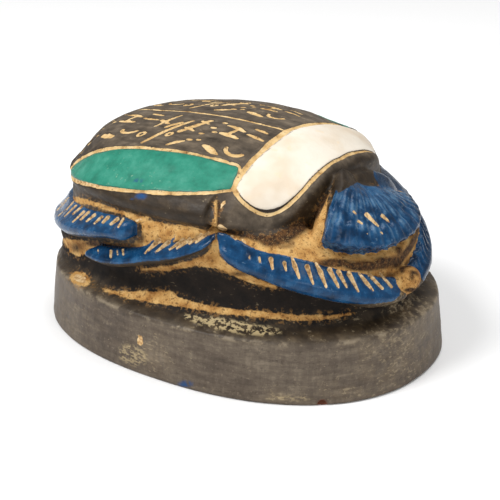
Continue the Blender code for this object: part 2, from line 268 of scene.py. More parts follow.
def wing_cases():
    skirt, band, shoulder, shoulder_share = keyed(half_turns(), WING_CASES)
    whole = np.ones(TURN_STEPS)
    rear = np.maximum(0.0, -np.cos(turns()))
    tuck = 1 - REAR_TUCK * rear
    rows = [
        ((SKIRT_SCALE - 0.105) * tuck, BURIED_SHARE * whole, 0),
        ((SKIRT_SCALE - 0.012) * tuck, skirt - 0.008, 0),
        ((SKIRT_SCALE + 0.006) * tuck, skirt + 0.014, 0),
        (BAND_SCALE * tuck, blend(skirt, band, 0.5), 0),
        ((BAND_TOP_SCALE + 0.02) * whole, band - 0.014, 0),
        (BAND_TOP_SCALE * whole, band + 0.008, 0),
    ]
    for inward, upward, swell in SLOPE:
        scale = blend(BAND_TOP_SCALE, shoulder, inward - REAR_SLOPE * rear)
        rows.append((scale, blend(band, shoulder_share, upward + swell * rear), 0))
    for part in BACK_RINGS:
        height = blend(1, shoulder_share, part**BACK_POWER)
        rows.append((shoulder * part, height, BACK_SHIFT * (1 - part**2)))
    rings = []
    for scale, share, shift in rows:
        x, y = oval(turns(), scale)
        rings.append(np.stack([x + shift * LENGTH / 2, y, level(share)], axis=1))
    grid = np.concatenate([[rings[0]], refine(np.array(rings[1:]), 6)])
    grid[..., 0] = np.minimum(grid[..., 0], WING_FRONT * LENGTH / 2)
    return loft(grid, (BACK_SHIFT * LENGTH / 2, 0, level(1)))


# Thorax shield and head, each row an arch: place along, half width, top, edge, squareness
THORAX = [
    (0.240, 0.830, 0.965, 0.680, 1.7),
    (0.250, 0.857, 1.005, 0.665, 1.7),
    (0.300, 0.850, 1.005, 0.655, 1.62),
    (0.350, 0.818, 1.000, 0.642, 1.7),
    (0.413, 0.730, 0.976, 0.611, 1.85),
    (0.452, 0.658, 0.953, 0.592, 2.0),
    (0.490, 0.582, 0.927, 0.606, 2.1),
    (0.522, 0.508, 0.905, 0.655, 2.2),
    (0.545, 0.445, 0.888, 0.715, 2.3),
    (0.562, 0.385, 0.868, 0.762, 2.3),
    (0.574, 0.300, 0.846, 0.790, 2.3),
    (0.579, 0.200, 0.825, 0.795, 2.3),
]
HEAD = [
    (0.400, 0.300, 0.74, 0.42, 2.8),
    (0.540, 0.330, 0.79, 0.42, 2.6),
    (0.590, 0.455, 0.805, 0.41, 2.2),
    (0.615, 0.505, 0.795, 0.40, 2.2),
    (0.640, 0.500, 0.735, 0.38, 2.7),
    (0.680, 0.470, 0.62, 0.38, 2.3),
]
ROOT_WIDTH = 0.52
ARCH_STEPS = 110


def arch(row):
    along, half, top, edge, power = row
    turn = np.linspace(0, pi, ARCH_STEPS + 1)
    across = half * signed_power(np.cos(turn), 2 / power)
    share = edge + (top - edge) * np.maximum(np.sin(turn), 0) ** (2 / power)
    root = min(edge, BURIED_SHARE)
    across = np.concatenate([across, [-half * ROOT_WIDTH, half * ROOT_WIDTH]])
    share = np.concatenate([share, [root, root]])
    along = np.full(len(across), along * LENGTH / 2)
    return np.stack([along, WIDTH / 2 * across, level(share)], axis=1)


def thorax():
    grid = np.array([arch(row) for row in THORAX])
    return loft(np.concatenate([grid[:1], refine(grid[1:], 5)]))


def head():
    return loft(refine(np.array([arch(row) for row in HEAD]), 5))


# Fan: apex, rim's centre, reach, half width, height and lift at the corners
FAN_APEX = (0.617, 0.765)
FAN_RIM = (0.612, 0.272, 0.515, 0.512)
FAN_LIFT = 0.131
FAN_SWELL = 1.5
FAN_SINK = 0.95
FAN_LEFT_TUCK = 0.08
FAN_LEFT_DROP = 0.35
FAN_TURN = radians(74)
FAN_SECTION = [
    (0.06, 0.012), (0.16, 0.030), (0.45, 0.055), (0.70, 0.043), (0.79, 0.027), (0.87, 0.029), (1.0, 0.0)
]
FAN_UNDER = [(0.80, 0.80, 8.0), (0.985, 0.98, 1.6)]
FAN_ROOT_TURN = radians(112)
FAN_ROOT_SHARE = 0.5
FAN_STEPS = 16 * RIB_COUNT
GROOVE_POWER = 1.6
CREST_POWER = 5
# The rolled rim: how far it stands out, and how deep it hangs
LIP_SCALE = 1.006
LIP_DROP = 0.7


def fan_point(turn, share, rise, rib):
    right = np.maximum(0.0, -np.sin(turn)) ** 2
    left = np.maximum(0.0, np.sin(turn)) ** 2
    rise = rise * (1 + FAN_SWELL * right - FAN_SINK * left)
    centre, reach, half, height = FAN_RIM
    half = half * (1 - FAN_LEFT_TUCK * left)
    lift = FAN_LIFT * (1 - np.cos(turn)) * (1 - FAN_LEFT_DROP * left)
    x = blend(FAN_APEX[0], centre + reach * np.cos(turn), share)
    y = half * np.sin(turn) * share
    z = blend(FAN_APEX[1], height + lift, share) + rise
    return np.stack([LENGTH / 2 * x, WIDTH / 2 * y, level(z) - rib], axis=-1)


def fan():
    angle = np.linspace(-FAN_TURN, FAN_TURN, FAN_STEPS + 1)
    groove = 0.5 - 0.5 * np.cos(np.linspace(0, 2 * pi * RIB_COUNT, FAN_STEPS + 1))
    groove = groove**GROOVE_POWER + CREST_DEPTH / RIB_DEPTH * (1 - groove) ** CREST_POWER
    angle = np.concatenate([angle, [FAN_ROOT_TURN, -FAN_ROOT_TURN]])
    groove = np.concatenate([groove, [0, 0]])
    grow = np.concatenate([np.ones(FAN_STEPS + 1), [FAN_ROOT_SHARE] * 2])
    rings = [
        fan_point(angle, share * grow, rise, RIB_DEPTH * min(1, share * 1.5) * groove)
        for share, rise in FAN_SECTION
    ]
    top = refine(np.array(rings[::-1]), 5)
    rim = rings[-1]
    under = [rim * (along, across, 1) - (0, 0, drop) for along, across, drop in FAN_UNDER]
    lip = rim * (LIP_SCALE, LIP_SCALE, 1) - (0, 0, LIP_DROP)
    return loft(np.concatenate([under, [lip], top]), fan_point(0.0, 0.0, 0.0, 0.0))


# Legs by turn from the head: turn, underside height, top height, how far they reach
HIND_LEG = [
    (95.5, 0.458, 0.560, 0.948),
    (98, 0.430, 0.564, 0.958),
    (103, 0.412, 0.556, 0.962),
    (108, 0.384, 0.548, 0.964),
    (124, 0.298, 0.500, 0.974),
    (145, 0.232, 0.452, 0.966),
    (178.8, 0.189, 0.424, 0.962),
]
MIDDLE_LEG = [
    (73.6, 0.548, 0.608, 0.930),
    (76, 0.500, 0.591, 0.942),
    (82, 0.420, 0.533, 0.948),
    (90, 0.333, 0.476, 0.950),
    (97, 0.267, 0.396, 0.950),
    (105, 0.219, 0.344, 0.950),
    (116, 0.210, 0.304, 0.950),
]
FRONT_LEG = [
    (1.5, 0.105, 0.250, 0.935),
    (11, 0.125, 0.300, 0.938),
    (21, 0.152, 0.362, 0.940),
    (30, 0.200, 0.407, 0.940),
    (40, 0.253, 0.465, 0.940),
    (50, 0.308, 0.507, 0.942),
    (58, 0.362, 0.530, 0.943),
    (67, 0.420, 0.602, 0.943),
    (71.5, 0.465, 0.630, 0.940),
]
# A leg's section: how far out, as a share of its reach, and how high, as a share of its height
LEG_SECTION = [
    (0.62, 0.00), (1.00, 0.22), (0.97, 0.40), (0.66, 0.56), (0.40, 0.78), (0.06, 1.00), (-0.9, 0.55)
]
# The front end of a hind leg is a knob of a fuller section, behind which the notches start to lean
KNOB_LENGTH = 6.2
LEAN_LENGTH = 10.0
KNOB_SECTION = [
    (0.62, 0.00), (1.00, 0.22), (1.04, 0.42), (0.98, 0.62), (0.78, 0.84), (0.30, 1.00), (-0.9, 0.55)
]
LEG_WALL = 0.868
LEG_ROUND = 3.5
HIND_ROUND = 1.5
LEAST_END = 0.45
FRONT_SLANT = 3
MIDDLE_SLANT = -4.5
HIND_SLANT = -6
LEFT_TUCK = 0.012
LEG_STEPS = 14
SECTION_PIECES = 4
# Further in than this a leg's section is buried and has no notches
INNER_EDGE = -0.2
# Share of the pitch from a notch's middle to its edge, and how each notch strays from its place,
# its width and its depth
NOTCH_HALF = 0.24
NOTCH_STRAY = 0.16
NOTCH_WIDER = (0.72, 1.3)
NOTCH_DEEPER = (0.75, 1.15)
NOTCH_BLUNT = 0.8
NOTCH_SEEDS = {"hind": 5, "middle": 6, "front": 9}
LEFT_SEED = 20
# Where on a leg's height its notches start, and how much higher they are full
NOTCH_FOOT = {"hind": 0.60, "middle": 0.52, "front": 0.48}
NOTCH_RAMP = 0.16
# Beyond this turn a near leg is out of the view, and its notches are cut like the far ones
HIDDEN_TURN = 158
HIDDEN_FADE = 5
LEGS = {
    "hind": (HIND_LEG, LEG_ROUND, HIND_ROUND, HIND_SLANT, 0.0),
    "middle": (MIDDLE_LEG, LEG_ROUND, LEG_ROUND, MIDDLE_SLANT, 0.0),
    "front": (FRONT_LEG, LEG_ROUND, LEG_ROUND, FRONT_SLANT, LEFT_TUCK),
}


def leg_arc(rows):
    return radians(rows[-1][0] - rows[0][0]) * (LENGTH + WIDTH) / 4


def notch_count(rows):
    return max(2, round(leg_arc(rows) / NOTCH_PITCH))


def notch_form(kind, side, share):
    """Distance from the nearest notch's middle, its half width and its depth, by pitch."""
    count = notch_count(LEGS[kind][0])
    draw = np.random.default_rng(NOTCH_SEEDS[kind] + (LEFT_SEED if side > 0 else 0))
    stray = draw.uniform(-NOTCH_STRAY, NOTCH_STRAY, count)
    half = draw.uniform(*NOTCH_WIDER, count) * NOTCH_HALF
    deep = draw.uniform(*NOTCH_DEEPER, count)
    place = np.clip(np.asarray(share) * count, 0, count - 0.001)
    which = place.astype(int)
    return np.abs(place - which - 0.5 - stray[which]), half[which], deep[which]


def notch_hold(kind, upward):
    """How fully a leg's notches are formed at a share of its height."""
    return np.clip((upward - NOTCH_FOOT[kind]) / NOTCH_RAMP, 0, 1)


def end_swell(distance, length):
    near = np.minimum(1.0, distance / length + 0.12)
    return np.sqrt(1 - (1 - near) ** 2)


def knob_share(kind, distance):
    """How much of the knob's section a leg has at a distance from its front end."""
    return step(2 * (1 - distance / KNOB_LENGTH), 0, 1) if kind == "hind" else 0 * distance


def leg(kind, side):
    rows, first_round, last_round, slant, tuck = LEGS[kind]
    share = np.linspace(0, 1, notch_count(rows) * LEG_STEPS + 1)
    degrees = blend(rows[0][0], rows[-1][0], share)
    low, high, reach = keyed(degrees, rows)
    arc = leg_arc(rows)
    swell = np.minimum(end_swell(arc * share, first_round), end_swell(arc * (1 - share), last_round))
    middle = (low + high) / 2
    low = blend(middle, low, blend(LEAST_END, 1, swell))
    high = blend(middle, high, blend(LEAST_END, 1, swell))
    out = (reach - (tuck if side > 0 else 0) - LEG_WALL) * blend(LEAST_END / 2, 1, swell)
    away, half, deep = notch_form(kind, side, share)
    knob = knob_share(kind, arc * share)
    lean = slant * np.clip(arc * share / LEAN_LENGTH, 0, 1) if kind == "hind" else slant
    cut = np.clip(1 - away / half, 0, 1) ** NOTCH_BLUNT * deep * swell * (1 - knob)
    if side < 0:
        cut = cut * step(degrees, HIDDEN_TURN, HIDDEN_TURN + HIDDEN_FADE)
    plain, full = (
        refine(np.array([[(o, u, 0.0)] for o, u in section]), SECTION_PIECES)[:, 0, :2]
        for section in (LEG_SECTION, KNOB_SECTION)
    )
    grid = []
    for (outward, upward), (more, higher) in zip(plain, full):
        hold = notch_hold(kind, upward) if outward > INNER_EDGE else 0.0
        outward, upward = blend(outward, more, knob), blend(upward, higher, knob)
        scale = LEG_WALL + out * outward - cut * hold * 2 * NOTCH_DEPTH / WIDTH
        turn = np.radians(degrees + lean * (upward - 0.5) * hold)
        x, y = oval(side * turn, scale)
        grid.append(np.stack([x, y, level(blend(low, high, upward))], axis=1))
    return loft(np.array(grid).transpose(1, 0, 2))


# Boss where the front legs meet
BOSS = (0.882, 0.205)
BOSS_RADII = (4.0, 5.8, 3.8)
BOSS_AROUND = 24
BOSS_TILTS = np.linspace(-1.35, 1.35, 12)


def boss():
    turn = np.linspace(0, 2 * pi, BOSS_AROUND, endpoint=False)
    middle = (BOSS[0] * LENGTH / 2, 0, level(BOSS[1]))
    rows = []
    for tilt in BOSS_TILTS:
        ball = [np.cos(turn) * cos(tilt), np.sin(turn) * cos(tilt), np.full(BOSS_AROUND, sin(tilt))]
        rows.append(np.stack(ball, axis=1) * BOSS_RADII + middle)
    return loft(np.array(rows))


# Mesh making

def mesh_of(name, forms):
    points, faces, start = [], [], 0
    for some, corners in forms:
        points.append(some)
        faces += [[c + start for c in face] for face in corners]
        start += len(some)
    mesh = bpy.data.meshes.new(name)
    mesh.from_pydata((np.concatenate(points) * MM).tolist(), [], faces)
    mesh.update()
    return mesh


def placed(name, data):
    """A new object of some data in the scene."""
    piece = bpy.data.objects.new(name, data)
    bpy.context.scene.collection.objects.link(piece)
    return piece


def modified(mesh, *modifiers):
    """A new mesh made through modifiers, each given as a kind and its settings."""
    piece = placed("blank", mesh)
    for kind, settings in modifiers:
        modifier = piece.modifiers.new(kind, kind)
        for name, value in settings.items():
            setattr(modifier, name, value)
    graph = bpy.context.evaluated_depsgraph_get()
    made = bpy.data.meshes.new_from_object(piece.evaluated_get(graph))
    bpy.data.objects.remove(piece)
    return made


def one_skin(mesh):
    """Joins closed forms that overlap into one surface, softened a little."""
    remesh = {"mode": "VOXEL", "voxel_size": VOXEL * MM, "adaptivity": 0}
    return modified(mesh, ("REMESH", remesh), ("SMOOTH", {"factor": 0.5, "iterations": 3}))


def thinned(mesh):
    """Fewer triangles, with the surface kept."""
    corners = np.empty(len(mesh.polygons), np.int32)
    mesh.polygons.foreach_get("loop_total", corners)
    ratio = min(1.0, TRIANGLES / float((corners - 2).sum()))
    return modified(mesh, ("DECIMATE", {"ratio": ratio}))


def of_points(mesh, name):
    """Places ("co") or normals of a mesh's points, as stored."""
    values = np.empty(len(mesh.vertices) * 3, np.float32)
    mesh.vertices.foreach_get(name, values)
    return values.reshape(-1, 3).astype(float)


# Noise on a lattice of seeded values, the same each run
NOISE_CELLS = 32


def lattice_noise(points, size, seed):
    table = np.random.default_rng(seed).random((NOISE_CELLS,) * 3)
    cell = np.floor(points / size).astype(int)
    part = points / size - cell
    part = part * part * (3 - 2 * part)
    total = 0
    for corner in np.ndindex(2, 2, 2):
        weight = np.abs(1 - np.array(corner) - part).prod(axis=1)
        total = total + weight * table[tuple(((cell + corner) % NOISE_CELLS).T)]
    return total * 2 - 1


def unevenness(points, rows):
    """Sum of noises, each with its strength, size and seed."""
    return sum(strength * lattice_noise(points, size, seed) for strength, size, seed in rows)


# The view that the painted outlines were measured in: millimetres, degrees and pixels
VIEW_AIM = np.array((2.382, 0.0, 22.716))
VIEW_AZIMUTH = radians(35.3919)
VIEW_HEIGHT = radians(23.0439)
VIEW_DISTANCE = 390.0
VIEW_FOCUS = 1353.64
VIEW_MIDDLE = 250.0
VIEW_BACK = np.array((
    sin(VIEW_AZIMUTH) * cos(VIEW_HEIGHT), -cos(VIEW_AZIMUTH) * cos(VIEW_HEIGHT), sin(VIEW_HEIGHT)
))
VIEW_RIGHT = np.array((cos(VIEW_AZIMUTH), sin(VIEW_AZIMUTH), 0.0))
VIEW_UP = np.cross(VIEW_BACK, VIEW_RIGHT)


def drawn(points, mirrored=True):
    """Where points fall in that view; the far side is mirrored onto the near one."""
    near = points * (1, 0, 1) - np.abs(points) * (0, 1, 0) if mirrored else points
    near = near - VIEW_AIM
    depth = VIEW_DISTANCE - near @ VIEW_BACK
    across = VIEW_MIDDLE + VIEW_FOCUS * (near @ VIEW_RIGHT) / depth
    down = VIEW_MIDDLE - VIEW_FOCUS * (near @ VIEW_UP) / depth
    return np.stack([across, down], axis=1)


# Millimetres per pixel of the view, about
PIXEL = 0.29
# Signed distance that stands for nowhere near, in millimetres
NOWHERE = -5.0


def least(*distances):
    """Where all of some areas are."""
    return reduce(np.minimum, distances)


def most(*distances):
    """Where any of some areas is."""
    return reduce(np.maximum, distances)


def from_line(spots, a, b):
    """How far positions are from the line between two ends, and their share of its length."""
    line = b - a
    t = np.clip((spots - a) @ line / max(line @ line, 1e-9), 0, 1)
    return np.linalg.norm(spots - a - t[:, None] * line, axis=1), t


def inside(flat, outline):
    """Signed distance to a closed outline."""
    outline = np.asarray(outline, float)
    crossing = np.zeros(len(flat), bool)
    away = np.full(len(flat), np.inf)
    for a, b in zip(outline, np.roll(outline, -1, axis=0)):
        away = np.minimum(away, from_line(flat, a, b)[0])
        if a[1] != b[1]:
            spans = (a[1] > flat[:, 1]) != (b[1] > flat[:, 1])
            at = a[0] + (flat[:, 1] - a[1]) * (b[0] - a[0]) / (b[1] - a[1])
            crossing ^= spans & (flat[:, 0] < at)
    return np.where(crossing, away, -away)


def mark_distance(flat, marks):
    """Signed distance to marks, each two ends and the radius at each."""
    best = np.full(len(flat), -9.0)
    for x0, y0, x1, y1, r0, r1 in marks:
        near = np.abs(flat[:, 0] - (x0 + x1) / 2) < abs(x1 - x0) / 2 + 4
        away, t = from_line(flat[near], np.array((x0, y0)), np.array((x1, y1)))
        best[near] = np.maximum(best[near], r0 + (r1 - r0) * t - away)
    return best


def rounded(outline, pieces=3):
    """A closed outline with its corners smoothed."""
    path = np.array(outline, float)
    path = np.concatenate([path[-2:], path, path[:2]])
    return refine(path[:, None, :], pieces)[2 * pieces:-2 * pieces, 0]


# Painted panels: outlines in the view, carried on where the view doesn't show them
TEAL = [
    (230, 189), (238.5, 168), (228, 164), (214, 160), (187, 154), (160.5, 150.5), (134, 148.5),
    (110, 150), (92, 154.5), (80, 161), (73.5, 166.5), (70.5, 172), (73.5, 177.5), (81, 181), (94, 184.5),
    (110, 187), (134, 189.5), (160.5, 191), (187, 192), (212, 191),
]
TEAL_REAR = 149
# The far panel's upper edge, which the view doesn't show, so it lies lower
TEAL_FAR_TOP = ((58, 110, 160, 238), (180, 157, 160, 179))
WHITE = [
    (236.4, 188.2), (246.2, 171.8), (260.9, 155.5), (274, 144), (290.4, 131.7), (305, 122.7),
    (330, 108), (380, 95), (430, 130), (372, 149.2), (367, 151.4), (355.8, 153.8), (341, 156.3),
    (331.3, 160.4), (321.5, 167.7), (311.7, 176.7), (301.8, 188.2), (292, 198), (280.6, 206.2),
    (269, 209.5), (259.3, 208.7), (249.5, 203.7), (241.3, 196.4),
]
# Borders cut round them: gap and width on the upper and on the lower side
TEAL_BORDER = ((0.0, 0.75), (0.0, 0.95))
WHITE_BORDER = ((0.0, 1.45), (0.28, 1.0))
# Where the white one's gap is wider: place across, reach and how much
LOBE_GAP = (270, 15, 0.75)
# The shield's lower edge, closed above it
SHIELD_BOTTOM = [
    (221, 226), (229, 230), (249, 234.5), (262, 236), (271, 235), (281, 231), (292, 224.5), (310, 207),
    (327, 189.5), (333.7, 176), (345, 171.5), (378, 163), (400, 120), (300, 100), (222, 150),
]
# Lines in the view that part the upper from the lower side of each panel
TEAL_SPLIT = ((58, 110, 240), (177, 168, 176))
WHITE_SPLIT = ((243, 192), (54, 97))
# From where to where along the beetle the shield's border runs
SHIELD_SPAN = (12.0, 35.0)


def chart(points):
    degrees, scale = oval_of(points[:, 0], points[:, 1])
    share = (points[:, 2] - PLINTH_HEIGHT) / BEETLE_HEIGHT
    return degrees, scale, share


def border(panel, lower, sides, gap_more=0.0, uneven=0.0):
    """Signed distance to the cut round a panel, from the panel's own."""
    gap = np.where(lower, sides[1][0] + gap_more, sides[0][0])
    half = np.where(lower, sides[1][1], sides[0][1]) / 2
    return half + uneven - np.abs(-panel - gap - half - uneven / 2)


# Strokes on the back: a carver's generic marks, in rows on each side of the middle line. Each form
# is given in a group's own measure: along in millimetres, across as a share of the row, and its
# width by the group's. What comes back are lines: two ends and the radius at each.

def spindle(at, wide, x0, y0, x1, y1, width=1.0):
    (x0, y0), (x1, y1), width = at(x0, y0), at(x1, y1), wide * width
    mid = ((x0 + x1) / 2, (y0 + y1) / 2)
    return [(x0, y0, *mid, width * 0.72, width), (*mid, x1, y1, width, width * 0.62)]


def hook(at, wide, x, y, size):
    x, y = at(x, y)
    turn = [pi + 0.95 * pi * t / 6 for t in range(7)]
    spots = [(x + size * cos(a), y + 0.8 * size * sin(a)) for a in turn]
    swell = [wide * (0.8 + 0.05 * i) for i in range(7)]
    return [(*spots[i], *spots[i + 1], swell[i], swell[i + 1]) for i in range(6)]


def ring_mark(at, wide, x, y, across, along, width):
    x, y = at(x, y)
    spots = [(x + across * cos(a), y + along * sin(a)) for a in np.linspace(0, 2 * pi, 9)]
    return [(*spots[i], *spots[i + 1], wide * width, wide * width) for i in range(8)]


def dots(at, wide, x0, y0, x1, y1, count, width):
    marks = []
    for t in np.linspace(0, 1, count):
        x, y = at(blend(x0, x1, t), blend(y0, y1, t))
        marks.append((x - 0.3, y, x + 0.3, y, wide * width, wide * width))
    return marks


# How long each group is, and its forms; the first has a comb of drawn spindles before them
GROUPS = [
    (7.4, [(ring_mark, 2.7, 0.50, 0.6, 0.9, 0.55)]),
    (6.6, [(hook, 2.6, 0.34, 2.6), (spindle, 0.4, 0.74, 5.8, 0.70, 1.2), (spindle, 0.2, 0.92, 4.6, 0.88)]),
    (7.0, [
        (spindle, 0, 0.86, 5.4, 0.78, 1.3), (spindle, 0.6, 0.62, 6.2, 0.58, 1.5),
        (spindle, 2.4, 0.60, 3.4, 0.84), (spindle, 1.0, 0.26, 6.4, 0.16, 1.7),
    ]),
    (5.4, [(dots, 0.4, 0.30, 2.2, 0.90, 4, 1.05), (dots, 2.8, 0.34, 4.4, 0.86, 3, 0.9)]),
    (5.8, [
        (spindle, 0.4, 0.44, 3.4, 0.90, 2.0), (spindle, 1.2, 0.84, 4.6, 0.78),
        (spindle, 0, 0.58, 3.8, 0.52), (spindle, 2.2, 0.10, 5.2, 0.24, 1.4),
    ]),
    (6.2, [
        (spindle, 0, 0.06, 4.6, 0.80, 1.25), (spindle, 0.2, 0.52, 2.4, 0.70, 1.3),
        (ring_mark, 4.6, 0.34, 0.8, 1.1, 0.6),
    ]),
    (5.2, [
        (ring_mark, 1.4, 0.26, 0.9, 1.5, 0.75), (spindle, 0.4, 0.70, 4.4, 0.62, 1.3),
        (spindle, 1.8, 0.50, 3.4, 0.94),
    ]),
]
COMB = 1.7


def row_of_marks(seed, first, last, near, far):
    """Groups of marks along the back, from near to far across it."""
    draw = np.random.default_rng(seed)
    marks, start, turn = [], first, 0
    while start < last:
        kind = 0 if turn == 0 else 1 + (turn * 5 + seed) % (len(GROUPS) - 1)
        wide = draw.uniform(0.56, 0.70)
        long, forms = GROUPS[kind]

        def at(x, y):
            return start + x, near + (far - near) * y

        for i in range(4 if kind == 0 else 0):
            foot = draw.uniform(0.06, 0.2)
            top = foot + draw.uniform(0.6, 0.72)
            marks += spindle(at, wide, COMB * i, foot, COMB * i + 1.5, top)
        for form, *numbers in forms:
            marks += form(at, wide, *numbers)
        start += long + draw.uniform(-0.3, 0.1)
        turn += 1
    return marks


MARKS = row_of_marks(3, -48.0, 9.0, -25.5, -2.4) + row_of_marks(8, -47.0, 8.0, 2.8, 21.5)
# The middle line: half its width, and how far and how often it sways
MIDDLE_HALF = 0.52
MIDDLE_SWAY = (0.25, 0.21)
# Where the marks and the middle line end towards the head
MARKS_END = 20


# Notches of the near legs in the view: two ends and the radius at each, in pixels
NOTCHES_SEEN = [
    (118.3, 227.0, 123.4, 218.8, 0.7, 1.1), (110.7, 224.3, 117.6, 218.9, 0.9, 1.7),
    (102.8, 222.6, 108.2, 217.0, 1.0, 1.5), (94.0, 223.7, 101.8, 216.9, 0.7, 1.3),
    (86.6, 221.2, 94.9, 214.6, 0.8, 1.2), (80.5, 219.7, 88.9, 211.9, 0.8, 1.1),
    (72.4, 222.2, 84.0, 211.6, 0.5, 1.0), (72.6, 214.2, 82.1, 206.4, 0.7, 0.9),
    (64.3, 216.6, 76.1, 205.5, 0.3, 0.7), (66.4, 209.9, 73.8, 201.3, 0.2, 0.5),
    (58.0, 216.0, 68.4, 206.9, 0.1, 0.2), (56.7, 210.5, 66.6, 200.8, 0.1, 0.2),
    (61.1, 203.9, 69.0, 197.4, 0.1, 0.2),
    (110.9, 251.0, 110.6, 257.2, 1.2, 0.9), (117.1, 250.6, 117.6, 254.8, 0.5, 0.4),
    (122.8, 249.8, 123.3, 254.8, 0.9, 0.6), (98.0, 250.0, 98.2, 253.0, 0.4, 0.3),
    (145.0, 253.2, 158.6, 240.5, 0.7, 2.5), (155.6, 252.3, 168.6, 241.9, 0.7, 2.1),
    (169.4, 249.6, 183.4, 240.0, 0.7, 2.0), (176.9, 248.6, 189.8, 239.6, 0.6, 1.8),
    (188.4, 244.4, 201.3, 235.1, 0.6, 1.7), (195.4, 242.8, 208.0, 233.1, 0.6, 1.7),
    (249.7, 255.5, 249.2, 258.5, 0.4, 0.7), (259.5, 257.5, 260.0, 262.2, 0.9, 0.7),
    (270.9, 259.0, 272.5, 268.8, 2.2, 0.9), (284.4, 262.8, 286.0, 270.4, 1.8, 0.8),
    (291.5, 256.5, 294.7, 265.5, 0.8, 2.1), (294.7, 265.5, 299.3, 278.0, 2.3, 0.9),
    (307.2, 266.6, 313.2, 284.0, 2.3, 0.8), (316.0, 263.5, 320.5, 272.0, 1.2, 2.2),
    (320.5, 272.0, 326.3, 287.2, 2.4, 0.8), (329.5, 269.5, 338.6, 287.2, 2.3, 0.9),
    (338.5, 271.5, 346.8, 287.2, 2.2, 0.8), (349.0, 273.5, 358.3, 291.5, 2.2, 0.8),
    (358.8, 273.0, 366.0, 282.0, 0.9, 1.9), (366.0, 282.0, 373.0, 290.6, 1.9, 0.7),
    (369.8, 275.4, 382.4, 288.6, 1.7, 1.1), (379.5, 273.1, 391.6, 286.9, 1.0, 1.2),
]


def notches_seen(points, out):
    on_view = (points[:, 1] < 0) & (out @ VIEW_BACK > 0.05)
    cut = mark_distance(drawn(points, mirrored=False), NOTCHES_SEEN) * PIXEL
    return np.where(on_view, cut, NOWHERE)


# Unevenness of the cut lines, then of the whole surface, of all but its foot and of the ledge
LINE_UNEVEN = [(0.16, 5.0, 7), (0.07, 1.7, 8)]
HAND_UNEVEN = [(0.14, 9.0, 1), (0.07, 3.2, 2)]
FINE_UNEVEN = [(0.05, 1.4, 4)]
LEDGE_UNEVEN = [(0.05, 0.9, 6)]


def fields(points):
    """Areas of the panels and cuts at points of the surface."""
    degrees, _, share = chart(points)
    skirt, band, _, _ = keyed(degrees, WING_CASES)
    x, y, _ = points.T
    view = drawn(points)
    across, down = view.T
    on_back = (share - skirt - 0.02) * BEETLE_HEIGHT
    rear = np.radians(TEAL_REAR - degrees) * np.hypot(x, y)
    teal = inside(view, rounded(TEAL)) * PIXEL
    lowered = (down - np.interp(across, *TEAL_FAR_TOP)) * PIXEL
    teal = least(np.where(y > 0, np.minimum(teal, lowered), teal), rear, on_back)
    edge = np.interp(x / (LENGTH / 2), [r[0] for r in THORAX], [r[3] for r in THORAX])
    behind, before = SHIELD_SPAN
    on_shield = least(x - behind, before - x, (share - edge + 0.01) * BEETLE_HEIGHT)
    white = inside(view, rounded(WHITE)) * PIXEL
    teal_low = down > np.interp(across, *TEAL_SPLIT)
    (split_across, split_down), (run, fall) = WHITE_SPLIT
    white_low = (down - split_down) * fall + (across - split_across) * run > 0
    lobe, spread, more = LOBE_GAP
    more = more * np.exp(-(((across - lobe) / spread) ** 2))
    uneven = unevenness(points, LINE_UNEVEN)
    round_teal = np.minimum(border(teal, teal_low, TEAL_BORDER, uneven=uneven), rear + 1.5)
    round_white = border(white, white_low, WHITE_BORDER, more, uneven)
    apart = -white - WHITE_BORDER[0][1]
    sway, often = MIDDLE_SWAY
    middle = np.minimum(MIDDLE_HALF - np.abs(y + sway * np.sin(x * often)), apart - 0.2)
    marks = least(mark_distance(points[:, :2], MARKS), -teal - 1.5, apart - 0.6) + uneven / 2
    across_back = np.minimum(np.maximum(middle, marks), (share - band) * BEETLE_HEIGHT)
    across_back = np.where(x < MARKS_END, across_back, NOWHERE)
    line = most(np.minimum(round_teal, on_back), np.minimum(round_white, on_shield), across_back)
    gap = (WHITE_BORDER[1][0] + more) / 2
    # The gap under the white panel's lower edge, cut and painted dark as its shade
    shaded_crevice = np.where(white_low, gap - np.abs(-white - gap), NOWHERE)
    return {
        "teal": teal,
        "white": np.minimum(white, on_shield),
        "line": line,
        "shaded_crevice": np.minimum(shaded_crevice, on_shield),
    }


# Chips and dents: centre, radius and depth
CHIPS = [
    ((46.8, -30.1, 0.4), 1.5, 0.9),
    ((29.5, -38.5, 14.0), 1.2, 0.30),
    ((-15.9, -34.7, 17.3), 1.0, 0.45),
    ((-12.8, -34.9, 17.3), 0.9, 0.45),
    ((-31.0, -41.0, 9.0), 1.4, 0.35),
    ((18.0, -44.0, 11.0), 1.0, 0.25),
]
PIT_COUNT = 90
PIT_SEED = 12
PIT_SIZES = (0.35, 0.8)
PIT_DEPTH = 0.35
# How deep the cut lines, the gap under the white panel and the near legs' notches are
LINE_DEPTH = 0.40
CREVICE_DEPTH = 0.35
SEEN_DEPTH = 0.85


def pits(points):
    """Depth of small holes, mostly on the ledge and the wall."""
    draw = np.random.default_rng(PIT_SEED)
    turn = draw.uniform(0, 2 * pi, PIT_COUNT)
    size = draw.uniform(*PIT_SIZES, PIT_COUNT)
    high = draw.uniform(2.0, PLINTH_HEIGHT + 4.0, PIT_COUNT)
    scale = np.where(high < PLINTH_HEIGHT - 1, 0.99, draw.uniform(0.88, 0.95, PIT_COUNT))
    x, y = oval(turn, scale)
    depth = np.zeros(len(points))
    for i in range(PIT_COUNT):
        flat = points - (x[i], y[i], min(high[i], PLINTH_HEIGHT))
        near = np.abs(flat).max(axis=1) < 2.5
        away = np.linalg.norm(flat[near], axis=1)
        depth[near] += PIT_DEPTH * size[i] * step(1 - away / (size[i] + 0.5), 0, 0.9)
    return depth


